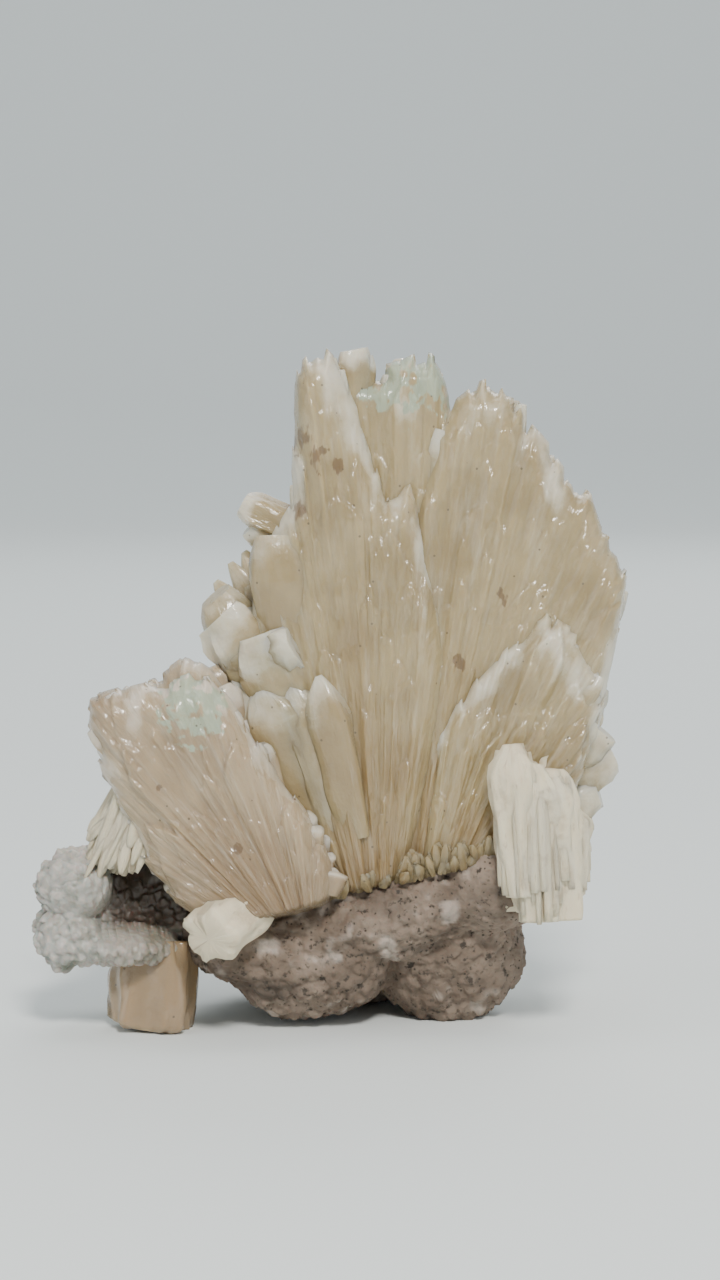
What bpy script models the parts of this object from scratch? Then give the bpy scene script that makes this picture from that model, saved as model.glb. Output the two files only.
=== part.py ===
"""A hand-size mineral specimen: sheaves of bladed crystals that fan out of a lump of host rock.

+X is to the viewer's right, +Z is up and -Y faces the viewer. The origin is under the middle of
the specimen's box, on the surface that it stands on. Lengths are in millimetres until each mesh
is scaled to metres. A crystal is given by its foot, its tip, its width and its thickness.
"""

import math
import random

import bmesh
import bpy
from mathutils import Matrix, Vector, noise

MM = 0.001
SIDES = 6

# Driving dimensions, in millimetres
GAP = 0.3  # the space that neighbouring pieces keep
BED_POINT = Vector((1.3, 0.0, 18.6))  # the bed is the surface where the sheaves leave the rock
BED_SLOPE = 13.0  # rise of the bed to the right, in degrees
SEAM_POINT = Vector((0.0, 0.0, 22.6))  # the seam is the plane that parts the two sheaves
SEAM_LEAN = 32.5  # lean of the seam to the left of upright, in degrees
CRUST_SIDE = -18.5  # x of the face where the crust meets the rock
CRUST_ROOF = 24.2  # height that the crust's back wall reaches under the smaller sheaf
CRUST_FRONT = -5.0  # y of the front of that back wall
MIDDLE = Vector((-0.35, 0.88, 0.0))  # the middle of the box that the shapes below fill
FAN_FOOT = Vector((7.6, -6.5, 17.0))
REAR_FOOT = Vector((10.0, 4.0, 17.5))
RIGHT_FOOT = Vector((13.5, -5.5, 18.5))
LEFT_FOOT = Vector((-3.5, -9.5, 16.0))
COLUMN = (
    # foot, tip and width of each crystal of the chalky column
    ((25.0, -13.0, 19.0), (23.9, -12.5, 39.0), 6.2),
    ((27.6, -13.5, 16.0), (27.0, -12.0, 36.2), 6.6),
    ((29.8, -12.0, 16.0), (29.0, -11.0, 35.4), 6.2),
    ((29.8, -8.5, 15.6), (28.2, -7.5, 36.8), 6.8),
    ((31.6, -9.5, 18.5), (31.9, -9.0, 29.6), 5.2),
    ((26.2, -9.5, 16.5), (25.0, -8.5, 36.5), 6.8),
)
FRONT_STUB = ((-10.6, -10.0, 18.2), (-15.6, -18.5, 14.0), 7.2, 6.8)
LOWER_STUB = ((-23.2, -5.5, 11.5), (-23.9, -7.0, -0.2), 11.0, 9.5)

# Colours, with roughness
CREAM = ((0.64, 0.55, 0.42), 0.35)
ROSE = ((0.68, 0.60, 0.53), 0.40)
CHALK = ((0.80, 0.74, 0.62), 0.75)
ROCK = ((0.30, 0.26, 0.22), 0.95)
DRUSE = ((0.62, 0.62, 0.58), 0.60)


def material(name, finish):
    """A Principled material of one colour and roughness."""
    colour, roughness = finish
    made = bpy.data.materials.new(name)
    made.use_nodes = True
    shader = made.node_tree.nodes["Principled BSDF"]
    shader.inputs["Base Color"].default_value = (*colour, 1.0)
    shader.inputs["Roughness"].default_value = roughness
    shader.inputs["Metallic"].default_value = 0.0
    return made


def add_object(name, mesh, collection, helper=False):
    """An object for the mesh. A helper only shapes other objects and isn't rendered."""
    made = bpy.data.objects.new(name, mesh)
    collection.objects.link(made)
    if helper:
        made.hide_render = True
        made.display_type = "WIRE"
    return made


def finished_mesh(made, name, place):
    """The bmesh as a mesh in metres, set in place (millimetres) and moved to the part's origin."""
    bmesh.ops.recalc_face_normals(made, faces=made.faces)
    to_origin = Matrix.Scale(MM, 4) @ Matrix.Translation(-MIDDLE)
    bmesh.ops.transform(made, verts=made.verts, matrix=to_origin @ place)
    mesh = bpy.data.meshes.new(name)
    made.to_mesh(mesh)
    made.free()
    return mesh


def crystal(foot, tip, width, thickness, base=0.6, bevel=5.0, crest=0.45, turn=0.0):
    """A bladed crystal: a six-sided cone that widens from its foot, drawn up to a narrower crest.

    base and crest are shares of the width, and bevel is the length over which the end narrows.
    """
    length = (tip - foot).length
    shoulder = 1.0 - min(bevel / length, 0.6)
    made = bmesh.new()
    bmesh.ops.create_cone(
        made, cap_ends=True, segments=SIDES, radius1=base / 2, radius2=0.5, depth=shoulder
    )
    bmesh.ops.translate(made, verts=made.verts, vec=(0, 0, shoulder / 2))
    top = max(made.faces, key=lambda face: face.calc_center_median().z)
    drawn = bmesh.ops.extrude_face_region(made, geom=[top])["geom"]
    bmesh.ops.delete(made, geom=[top], context="FACES_ONLY")
    peak = [part for part in drawn if isinstance(part, bmesh.types.BMVert)]
    bmesh.ops.scale(made, verts=peak, vec=(crest, crest, 1))
    bmesh.ops.translate(made, verts=peak, vec=(0, 0, 1 - shoulder))
    broad_face_front = Matrix.Rotation(math.radians(30), 4, "Z")
    bmesh.ops.transform(made, verts=made.verts, matrix=broad_face_front)
    bmesh.ops.scale(made, verts=made.verts, vec=(width, thickness, length))

    axis = (tip - foot).normalized()
    facing = Vector((0, -1, 0))
    if abs(axis.y) > 0.8:
        facing = Vector((0, 0, 1))
    facing = (facing - axis * facing.dot(axis)).normalized()
    across = axis.cross(facing).normalized()
    frame = Matrix((across, -facing, axis)).transposed()
    spin = Matrix.Rotation(math.radians(turn), 3, axis)
    place = Matrix.Translation(foot) @ (spin @ frame).to_4x4()
    return finished_mesh(made, "crystal", place)


class Cluster:
    """Crystals that grew together: each is a helper, and a union makes them one solid."""

    def __init__(self, name, parts, helpers, seed):
        self.name = name
        self.parts = parts
        self.helpers = helpers
        self.crystals = bpy.data.collections.new(name + "_crystals")
        helpers.children.link(self.crystals)
        self.chance = random.Random(seed)
        self.first = None

    def add(self, foot, tip, width, thickness, **shape):
        """Adds one crystal."""
        mesh = crystal(Vector(foot), Vector(tip), width, thickness, **shape)
        if self.first is None:
            self.first = add_object(self.name, mesh, self.parts)
        else:
            add_object(self.name + "_crystal", mesh, self.crystals, helper=True)

    def add_row(self, foot, tips, depth, thickness, spread=0.12, **shape):
        """Crystals side by side. tips holds (x, z, width) and depth is the y of the tips.

        spread is how far each foot moves from the shared foot towards its own tip, as a share.
        """
        for x, z, width in tips:
            start = foot + Vector(((x - foot.x) * spread, 0, 0))
            tip = Vector((x, depth + self.chance.uniform(-0.7, 0.7), z))
            turn = self.chance.uniform(-12, 12)
            self.add(start, tip, width, thickness, turn=turn, **shape)

    def join(self, finish):
        """Joins the crystals into the node's one solid and gives it its finish."""
        if len(self.crystals.objects):
            union = self.first.modifiers.new("grown_together", "BOOLEAN")
            union.operation = "UNION"
            union.operand_type = "COLLECTION"
            union.collection = self.crystals
            union.solver = "EXACT"
        self.first.data.materials.append(material(self.name, finish))
        return self.first


def evaluated_mesh(item):
    """A new mesh of the object as its modifiers leave it."""
    graph = bpy.context.evaluated_depsgraph_get()
    return bpy.data.meshes.new_from_object(item.evaluated_get(graph))


def lump(name, balls, finish, collection, grain, relief, keep, seed):
    """A rough rock: balls fused by a voxel remesh, weathered by noise and then coarsened.

    balls holds (centre, half sizes, lean). grain is the voxel, relief the depth of the weathering
    and keep the share of the faces that stays.
    """
    made = bmesh.new()
    for centre, halves, lean in balls:
        ball = bmesh.ops.create_icosphere(made, subdivisions=3, radius=1.0)["verts"]
        turn = Matrix.Rotation(math.radians(lean), 4, "Y")
        place = Matrix.Translation(Vector(centre)) @ turn @ Matrix.Diagonal((*halves, 1.0))
        bmesh.ops.transform(made, verts=ball, matrix=place)
    rock = add_object(name, finished_mesh(made, name, Matrix.Identity(4)), collection)
    fuse = rock.modifiers.new("fuse", "REMESH")
    fuse.mode = "VOXEL"
    fuse.voxel_size = grain * MM
    rock.data = evaluated_mesh(rock)
    rock.modifiers.clear()
    shift = Vector((seed * 7.1, seed * 3.3, seed * 5.7))
    for vertex in rock.data.vertices:
        point = vertex.co / MM
        broad = noise.fractal(point * 0.10 + shift, 1.0, 2.0, 3)
        fine = noise.noise(point * 0.42 - shift)
        vertex.co += vertex.normal * (broad + fine * 0.45) * relief * MM
    coarsen = rock.modifiers.new("coarsen", "DECIMATE")
    coarsen.ratio = keep
    rock.data = evaluated_mesh(rock)
    rock.modifiers.clear()
    rock.data.materials.append(material(name, finish))
    return rock


def block(name, centre, halves, lean, tip, helpers):
    """A box-shaped cutter, turned about Y (lean) and then about its own X (tip), in degrees."""
    made = bmesh.new()
    bmesh.ops.create_cube(made, size=2.0)
    turn = Matrix.Rotation(math.radians(lean), 4, "Y")
    turn = turn @ Matrix.Rotation(math.radians(tip), 4, "X")
    place = Matrix.Translation(Vector(centre)) @ turn @ Matrix.Diagonal((*halves, 1.0))
    return add_object(name, finished_mesh(made, name, place), helpers, helper=True)


def trim(item, cutter):
    """Cuts the shape of the cutter, an object or a collection of objects, from the item."""
    cut = item.modifiers.new("trim_" + cutter.name, "BOOLEAN")
    cut.operation = "DIFFERENCE"
    cut.solver = "EXACT"
    if isinstance(cutter, bpy.types.Collection):
        cut.operand_type = "COLLECTION"
        cut.collection = cutter
    else:
        cut.object = cutter


def beyond(name, point, turn, offset, helpers):
    """A large block whose one face passes near the point: all that lies on one side of a plane.

    The block is below the plane, which is turned by turn degrees from level and moved up by offset.
    """
    half = 80.0
    lift = Matrix.Rotation(math.radians(turn), 4, "Y") @ Vector((0.0, 0.0, offset - half))
    return block(name, point + lift, (half, half, half), turn, 0.0, helpers)


def main_fan(parts, helpers):
    """The tall sheaf: a left blade group, a back group, a right group and flank crystals."""
    fan = Cluster("main_fan", parts, helpers, seed=11)
    left_group = [
        (-2.4, 88.8, 5.0), (0.6, 88.0, 5.5), (2.4, 80.8, 5.5), (4.8, 73.2, 6.0),
        (11.2, 65.0, 6.0), (12.6, 56.5, 6.5), (12.6, 45.0, 7.0), (-6.5, 66.0, 6.5),
    ]
    fan.add_row(FAN_FOOT, left_group, -3.5, 8.5)
    fan.add(FAN_FOOT, (10.3, -5.5, 71.6), 4.6, 7.0, crest=0.15, bevel=9.0)
    fan.add((1.0, -4.5, 40.0), (-2.6, -3.0, 85.5), 5.0, 6.5, crest=0.6)
    rear_group = [
        (4.4, 85.6, 4.6), (7.0, 86.2, 4.4), (9.6, 87.0, 4.6), (12.0, 88.2, 4.4), (14.2, 87.0, 4.4),
        (15.8, 83.5, 4.6),
    ]
    fan.add_row(REAR_FOOT, rear_group, 3.0, 8.0, spread=0.5, bevel=2.5, crest=0.6)
    middle_group = [(13.6, 71.0, 6.0), (15.4, 58.0, 7.0), (18.6, 62.0, 7.5), (23.0, 62.0, 7.5)]
    fan.add_row(RIGHT_FOOT, middle_group, -2.5, 8.0, spread=0.2, bevel=8.0, crest=0.3)
    right_group = [
        (15.8, 79.4, 5.0), (17.4, 82.0, 5.0), (19.6, 83.9, 5.5), (22.0, 84.9, 6.0), (24.4, 82.0, 5.5),
        (27.0, 78.2, 6.5), (30.0, 74.6, 7.0), (32.4, 70.8, 7.0), (34.6, 67.8, 6.5),
        (37.2, 61.6, 7.5), (36.6, 54.0, 8.0), (35.0, 46.0, 8.0), (33.0, 39.0, 8.0),
    ]
    fan.add_row(RIGHT_FOOT, right_group, 0.0, 9.0, spread=0.15)
    near_group = [(28.0, 54.8, 5.5), (32.4, 51.5, 6.0), (34.6, 46.6, 6.5), (34.8, 40.6, 6.5)]
    near_foot = RIGHT_FOOT + Vector((1.0, -3.0, 2.0))
    fan.add_row(near_foot, near_group, -5.5, 5.5, bevel=8.0, crest=0.25)
    short_blades = [(21.0, 37.0, 5.0), (6.0, 40.0, 5.5), (0.4, 36.0, 5.5)]
    fan.add_row(FAN_FOOT, short_blades, -7.0, 5.5, bevel=8.0, crest=0.2)
    lobes = [(36.8, 39.6, 6.5), (37.6, 35.4, 6.5), (36.2, 31.0, 6.5), (35.2, 26.8, 6.0)]
    fan.add_row(Vector((21.0, -1.0, 26.0)), lobes, -1.0, 8.0, base=0.8, bevel=4.0, crest=0.5)

    # the thick middle that the rows in front and behind stand against
    core = [(3.0, 58.0, 12.0), (10.0, 68.0, 13.0), (19.0, 64.0, 13.0), (26.0, 54.0, 12.0)]
    fan.add_row(Vector((10.0, -1.0, 17.0)), core, 0.5, 10.0, spread=0.3, base=0.8, bevel=10.0)

    # the left flank: pointed blades in front, blocky and milky crystals above and behind them
    seam_group = [(-5.0, 34.0, 7.5), (-11.0, 41.0, 7.5)]
    fan.add_row(FAN_FOOT, seam_group, -2.0, 9.0, bevel=6.0)
    flank = [(-1.5, 47.2, 5.5), (-5.0, 46.0, 6.0), (-9.0, 45.5, 6.5), (-12.0, 46.5, 6.0)]
    fan.add_row(FAN_FOOT, flank, -7.5, 6.0, bevel=7.0, crest=0.3)
    fan.add((0.0, -2.0, 36.0), (-14.8, -3.0, 55.5), 9.0, 8.0, bevel=3.0, crest=0.7)
    fan.add((2.0, -4.0, 38.0), (-7.0, -7.0, 55.0), 7.5, 7.0, bevel=2.5, crest=0.75)
    fan.add((-0.5, 2.0, 40.0), (-12.6, 2.0, 60.6), 6.0, 6.0, bevel=5.0, crest=0.3)
    fan.add((-6.0, -5.5, 50.0), (-6.0, -5.0, 66.0), 8.0, 7.0, bevel=4.0, crest=0.6)
    fan.add((1.0, -1.0, 62.6), (-11.4, 0.5, 69.0), 4.4, 4.4, base=0.9, bevel=2.0, crest=0.7)
    fan.add((3.0, 0.0, 78.0), (3.2, 0.0, 90.4), 4.2, 4.2, bevel=2.0, crest=0.7)

    # the hidden back of the sheaf
    far_group = [
        (-11.0, 46.0, 9.0), (-5.0, 62.0, 9.0), (2.0, 74.0, 9.0), (9.0, 78.0, 9.0), (16.5, 76.0, 9.0),
        (24.0, 70.0, 9.0), (30.5, 60.0, 9.0), (33.5, 49.0, 9.0),
    ]
    fan.add_row(REAR_FOOT, far_group, 8.0, 9.0, spread=0.3, bevel=6.0)
    low_group = [(-11.0, 36.0, 8.5), (-3.0, 46.0, 9.0), (7.0, 52.0, 9.0), (18.0, 50.0, 9.0), (28.0, 40.0, 9.0)]
    fan.add_row(REAR_FOOT + Vector((0, 4, 0)), low_group, 16.0, 9.0, spread=0.3, bevel=7.0, crest=0.35)
    return fan.join(CREAM)


def left_fan(parts, helpers):
    """The smaller sheaf, low on the left and nearer to the viewer."""
    fan = Cluster("left_fan", parts, helpers, seed=23)
    front_group = [
        (-9.6, 38.6, 5.5), (-13.2, 44.0, 5.5), (-17.0, 45.4, 5.5), (-20.8, 45.4, 5.5),
        (-24.6, 45.2, 5.5), (-28.2, 44.4, 5.5), (-30.6, 41.8, 5.5), (-30.6, 37.6, 5.5),
        (-28.8, 33.4, 5.5), (-26.2, 29.0, 6.0), (-22.6, 24.4, 6.0), (-18.6, 19.8, 6.0),
    ]
    fan.add_row(LEFT_FOOT, front_group, -13.0, 6.5, bevel=3.0)
    near_group = [(-4.6, 29.0, 6.0), (-8.0, 34.0, 6.0), (-14.0, 24.0, 6.0), (-17.0, 32.0, 6.0)]
    fan.add_row(LEFT_FOOT, near_group, -14.0, 5.0, bevel=7.0, crest=0.3)
    seam_group = [(-1.0, 27.5, 7.0), (-6.0, 35.5, 7.0)]
    fan.add_row(LEFT_FOOT + Vector((1.5, 3.0, 0)), seam_group, -7.0, 9.0, bevel=5.0)
    rear_group = [
        (-13.5, 43.0, 7.5), (-18.0, 48.6, 6.5), (-22.0, 45.0, 7.5), (-27.4, 42.0, 7.5),
        (-28.0, 35.0, 7.5), (-23.0, 27.5, 7.5),
    ]
    fan.add_row(LEFT_FOOT + Vector((0, 5, 0)), rear_group, -6.0, 8.0, bevel=4.0)
    back_group = [(-14.0, 37.0, 8.0), (-18.5, 41.0, 8.0), (-24.0, 37.0, 8.0), (-25.5, 30.0, 8.0)]
    fan.add_row(LEFT_FOOT + Vector((0, 8, 2)), back_group, 1.5, 8.0, bevel=5.0)
    far_group = [(-10.0, 33.0, 8.5), (-16.0, 33.0, 8.0), (-20.0, 29.0, 7.5)]
    fan.add_row(LEFT_FOOT + Vector((0, 10.5, 2)), far_group, 8.5, 9.0, bevel=6.0, crest=0.35)
    needles = [(-32.0, 27.0, 4.5), (-29.8, 23.0, 4.5), (-26.6, 21.6, 4.5), (-24.0, 22.4, 4.5)]
    for x, z, width in needles:
        top = (x * 0.5 - 13.0, -7.0, 33.5)
        fan.add(top, (x, -8.0, z), width, 5.5, base=0.9, bevel=3.0, crest=0.4)
    return fan.join(ROSE)


def chalk_column(parts, helpers):
    """The upright bundle of chalky crystals in front, on the right."""
    column = Cluster("chalk_column", parts, helpers, seed=31)
    for foot, tip, width in COLUMN:
        column.add(foot, tip, width, width, base=0.85, bevel=3.0, crest=0.45)
    return column.join(CHALK)


def column_room(helpers):
    """The room that the chalky column takes with the gap around it, as a collection of cutters."""
    room = bpy.data.collections.new("column_room")
    helpers.children.link(room)
    for foot, tip, width in COLUMN:
        axis = (Vector(tip) - Vector(foot)).normalized()
        mesh = crystal(
            Vector(foot) - axis * GAP, Vector(tip) + axis * GAP, width + 2.3 * GAP,
            width + 2.3 * GAP, base=0.86, bevel=3.0, crest=0.5,
        )
        add_object("column_room", mesh, room, helper=True)
    return room


def stub(name, parts, helpers, size, finish):
    """A short blunt crystal that stands alone. size holds its foot, tip, width and thickness."""
    made = Cluster(name, parts, helpers, seed=5)
    made.add(*size, base=0.92, bevel=0.8, crest=0.82)
    return made.join(finish)


def stub_room(name, size, helpers):
    """The room that a stub takes with the gap around it, as a cutter."""
    foot, tip, width, thickness = size
    axis = (Vector(tip) - Vector(foot)).normalized()
    mesh = crystal(
        Vector(foot) - axis * GAP, Vector(tip) + axis * GAP, width + 2.3 * GAP,
        thickness + 2.3 * GAP, base=0.92, bevel=0.8, crest=0.82,
    )
    return add_object(name, mesh, helpers, helper=True)


def matrix_rock(parts):
    """The host rock: a wedge under the sheaves, with a tip in front and a heel behind."""
    balls = [
        ((6.0, 0.5, 14.6), (22.0, 12.4, 7.2), -12),
        ((-2.5, -2.5, 8.5), (11.0, 9.5, 8.4), -4),
        ((-11.0, -3.0, 10.5), (9.5, 9.5, 5.6), 6),
        ((16.0, 2.5, 8.6), (11.0, 9.0, 9.6), -8),
        ((3.0, 11.5, 9.4), (19.0, 9.8, 10.0), -7),
        ((22.0, -4.0, 19.0), (7.0, 8.0, 6.6), -20),
        ((-10.0, 4.0, 13.5), (12.0, 10.0, 8.0), 4),
    ]
    return lump("matrix", balls, ROCK, parts, grain=1.3, relief=1.2, keep=0.20, seed=3)


def left_crust(parts):
    """The knobbly drusy crust at the far left, with a ledge that runs under the small hollow."""
    balls = [
        ((-33.8, -6.5, 19.2), (5.0, 6.0, 4.8), 0),
        ((-34.6, -7.0, 12.6), (4.6, 6.0, 4.2), 0),
        ((-27.5, -6.5, 11.4), (7.5, 6.5, 2.4), 2),
        ((-30.5, 0.0, 16.0), (6.5, 6.0, 7.4), 0),
        ((-22.5, -0.5, 16.4), (7.5, 4.6, 7.0), 0),
    ]
    return lump("left_crust", balls, DRUSE, parts, grain=0.8, relief=0.7, keep=0.2, seed=8)


def build():
    """Makes every node and cuts each back from its neighbours."""
    for old in list(bpy.data.objects):
        bpy.data.objects.remove(old)
    parts = bpy.data.collections.new("crystal_fan_specimen")
    helpers = bpy.data.collections.new("helpers")
    for group in (parts, helpers):
        bpy.context.scene.collection.children.link(group)

    fan = main_fan(parts, helpers)
    small_fan = left_fan(parts, helpers)
    column = chalk_column(parts, helpers)
    rock = matrix_rock(parts)
    crust = left_crust(parts)
    front = stub("front_stub", parts, helpers, FRONT_STUB, CHALK)
    lower = stub("lower_stub", parts, helpers, LOWER_STUB, ROSE)

    half_gap = GAP / 2
    under_bed = beyond("under_bed", BED_POINT, -BED_SLOPE, half_gap, helpers)
    over_bed = beyond("over_bed", BED_POINT, 180.0 - BED_SLOPE, half_gap, helpers)
    left_of_seam = beyond("left_of_seam", SEAM_POINT, 90.0 - SEAM_LEAN, half_gap, helpers)
    right_of_seam = beyond("right_of_seam", SEAM_POINT, -90.0 - SEAM_LEAN, half_gap, helpers)
    trim(fan, under_bed)
    trim(fan, left_of_seam)
    trim(small_fan, under_bed)
    trim(small_fan, right_of_seam)
    trim(rock, over_bed)

    side = Vector((CRUST_SIDE, 0.0, 0.0))
    trim(rock, beyond("crust_side", side, 90.0, half_gap, helpers))
    trim(crust, beyond("rock_side", side, -90.0, half_gap, helpers))
    roof = Vector((0.0, 0.0, CRUST_ROOF))
    trim(crust, beyond("over_crust", roof, 180.0, 0.0, helpers))
    wall_centre = (-29.0, CRUST_FRONT - GAP + 10.0, CRUST_ROOF + GAP - 10.0)
    wall_room = block("wall_room", wall_centre, (11.0, 10.0, 10.0), 0.0, 0.0, helpers)
    trim(small_fan, wall_room)

    front_room = stub_room("front_room", FRONT_STUB, helpers)
    lower_room = stub_room("lower_room", LOWER_STUB, helpers)
    for item in (small_fan, rock, crust):
        trim(item, front_room)
    for item in (rock, crust):
        trim(item, lower_room)
    room = column_room(helpers)
    for item in (fan, rock):
        trim(item, room)
    below_rest = beyond("below_rest", Vector((0.0, 0.0, 0.0)), 0.0, 0.0, helpers)
    for item in (rock, lower):
        trim(item, below_rest)
    return front, column


build()
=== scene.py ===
"""Looks of a hand-size mineral specimen: sheaves of bladed crystals that fan out of host rock.

Shapes are worked out in millimetres as numpy surfaces, on the axes of the photograph's plane:
+X to the viewer's right, +Z up, -Y towards the viewer. Solid turns them into metres in the row
frame. A sheaf is a patch of straight ribs that run from one foot to a jagged rim, and a crystal is
a flattened profile carried from its foot to its tip.
"""

import logging
import math
from dataclasses import dataclass, field
from enum import Enum

import bpy
import numpy as np
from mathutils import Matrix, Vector


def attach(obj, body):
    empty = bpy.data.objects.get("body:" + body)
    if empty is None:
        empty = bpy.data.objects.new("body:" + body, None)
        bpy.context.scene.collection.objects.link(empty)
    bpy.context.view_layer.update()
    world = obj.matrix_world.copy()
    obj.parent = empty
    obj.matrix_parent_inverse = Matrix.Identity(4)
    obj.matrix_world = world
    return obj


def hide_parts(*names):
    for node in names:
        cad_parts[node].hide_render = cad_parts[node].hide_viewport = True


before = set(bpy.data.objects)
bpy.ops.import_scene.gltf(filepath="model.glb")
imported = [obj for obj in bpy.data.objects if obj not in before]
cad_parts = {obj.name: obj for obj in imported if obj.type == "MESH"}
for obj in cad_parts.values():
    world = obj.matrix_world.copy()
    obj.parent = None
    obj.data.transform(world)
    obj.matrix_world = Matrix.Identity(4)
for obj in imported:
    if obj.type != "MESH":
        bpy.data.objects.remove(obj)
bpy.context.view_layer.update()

LOG = logging.getLogger("specimen")
Array = np.ndarray
Point = tuple[float, float]
Place = tuple[float, float, float]

MM = 0.001
MIDDLE = (-0.35, 0.88, 0.0)  # the middle of the CAD box on the photograph's axes, in mm
BODY = "root"
BED_X, BED_Z = 1.3, 18.6  # a point of the bed, the surface where the sheaves leave the rock
BED_RISE = math.tan(math.radians(13.0))
ROCK_CORE_Y = -1.5  # depth inside the rock that the feet of the sheaves turn towards


def smooth(value: Array, low: float, high: float) -> Array:
    """Smoothstep: 0 below low, 1 above high, 3t^2 - 2t^3 between.

    Args:
        value: numbers of any shape.
        low: where the rise starts.
        high: where it ends; below low for a falling step.

    Returns:
        Numbers from 0 to 1.
    """
    t = np.clip((value - low) / (high - low), 0.0, 1.0)
    return t * t * (3.0 - 2.0 * t)


def lattice(cell: Array, seed: int) -> Array:
    """A repeatable number from 0 to 1 for each whole-numbered lattice point.

    Args:
        cell: whole numbers, the last axis holding x, y and z.
        seed: picks another set of numbers.

    Returns:
        One number for each point.
    """
    mixed = cell[..., 0] * 73856093 ^ cell[..., 1] * 19349663 ^ cell[..., 2] * 83492791
    mixed = (mixed ^ (seed * 2654435761)) & 0xFFFFFFFF
    mixed = ((mixed ^ (mixed >> 15)) * 2246822519) & 0xFFFFFFFF
    mixed = ((mixed ^ (mixed >> 13)) * 3266489917) & 0xFFFFFFFF
    return ((mixed ^ (mixed >> 16)) & 0xFFFFFF) / float(0xFFFFFF)


def cloud(points: Array, size: float, seed: int) -> Array:
    """Value noise from -1 to 1: the corner numbers of each cell blended by smoothstep.

    Args:
        points: places in mm, the last axis holding x, y and z.
        size: side of a cell in mm.
        seed: picks another field.

    Returns:
        One number for each point.
    """
    scaled = points / size
    cell = np.floor(scaled).astype(np.int64)
    part = scaled - cell
    part = part * part * (3.0 - 2.0 * part)
    total = np.zeros(points.shape[:-1])
    for corner in np.ndindex(2, 2, 2):
        offset = np.array(corner)
        weight = np.prod(np.where(offset == 1, part, 1.0 - part), axis=-1)
        total += weight * lattice(cell + offset, seed)
    return total * 2.0 - 1.0


def clouds(points: Array, size: float, seed: int, octaves: int = 3) -> Array:
    """Fractal noise: each octave has cells half as large and half the weight of the last.

    Args:
        points: places in mm.
        size: side of the largest cell in mm.
        seed: picks another field.
        octaves: how many fields are summed.

    Returns:
        One number for each point, mostly within -1 to 1.
    """
    total = np.zeros(points.shape[:-1])
    for octave in range(octaves):
        total += cloud(points, size / 2**octave, seed + octave) / 2**octave
    return total


def grains(points: Array, size: float, seed: int) -> tuple[Array, Array]:
    """Cellular noise: every cell holds one grain centre, and each point belongs to the nearest.

    Args:
        points: places in mm.
        size: side of a cell in mm.
        seed: picks another field.

    Returns:
        The distance to the nearest centre in cells, and that grain's own number from 0 to 1.
    """
    scaled = points / size
    cell = np.floor(scaled).astype(np.int64)
    nearest = np.full(points.shape[:-1], 9.0)
    own = np.zeros(points.shape[:-1])
    for step in np.ndindex(3, 3, 3):
        home = cell + np.array(step) - 1
        jitter = [lattice(home, seed + axis) for axis in range(3)]
        gap = np.linalg.norm(scaled - (home + np.stack(jitter, axis=-1)), axis=-1)
        closer = gap < nearest
        nearest = np.where(closer, gap, nearest)
        own = np.where(closer, lattice(home, seed + 7), own)
    return nearest, own


def distance_to_line(points: Array, line: Array) -> Array:
    """The shortest distance from each point to a line of straight pieces, in two dimensions.

    Each piece gives the distance to the foot of the perpendicular, held between its ends.

    Args:
        points: places, the last axis holding x and z.
        line: the corners of the line.

    Returns:
        One distance for each point.
    """
    nearest = np.full(points.shape[:-1], 1e9)
    for start, end in zip(line[:-1], line[1:]):
        span = end - start
        share = ((points - start) @ span) / max(float(span @ span), 1e-9)
        foot = start + np.clip(share, 0.0, 1.0)[..., None] * span
        nearest = np.minimum(nearest, np.linalg.norm(points - foot, axis=-1))
    return nearest


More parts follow.
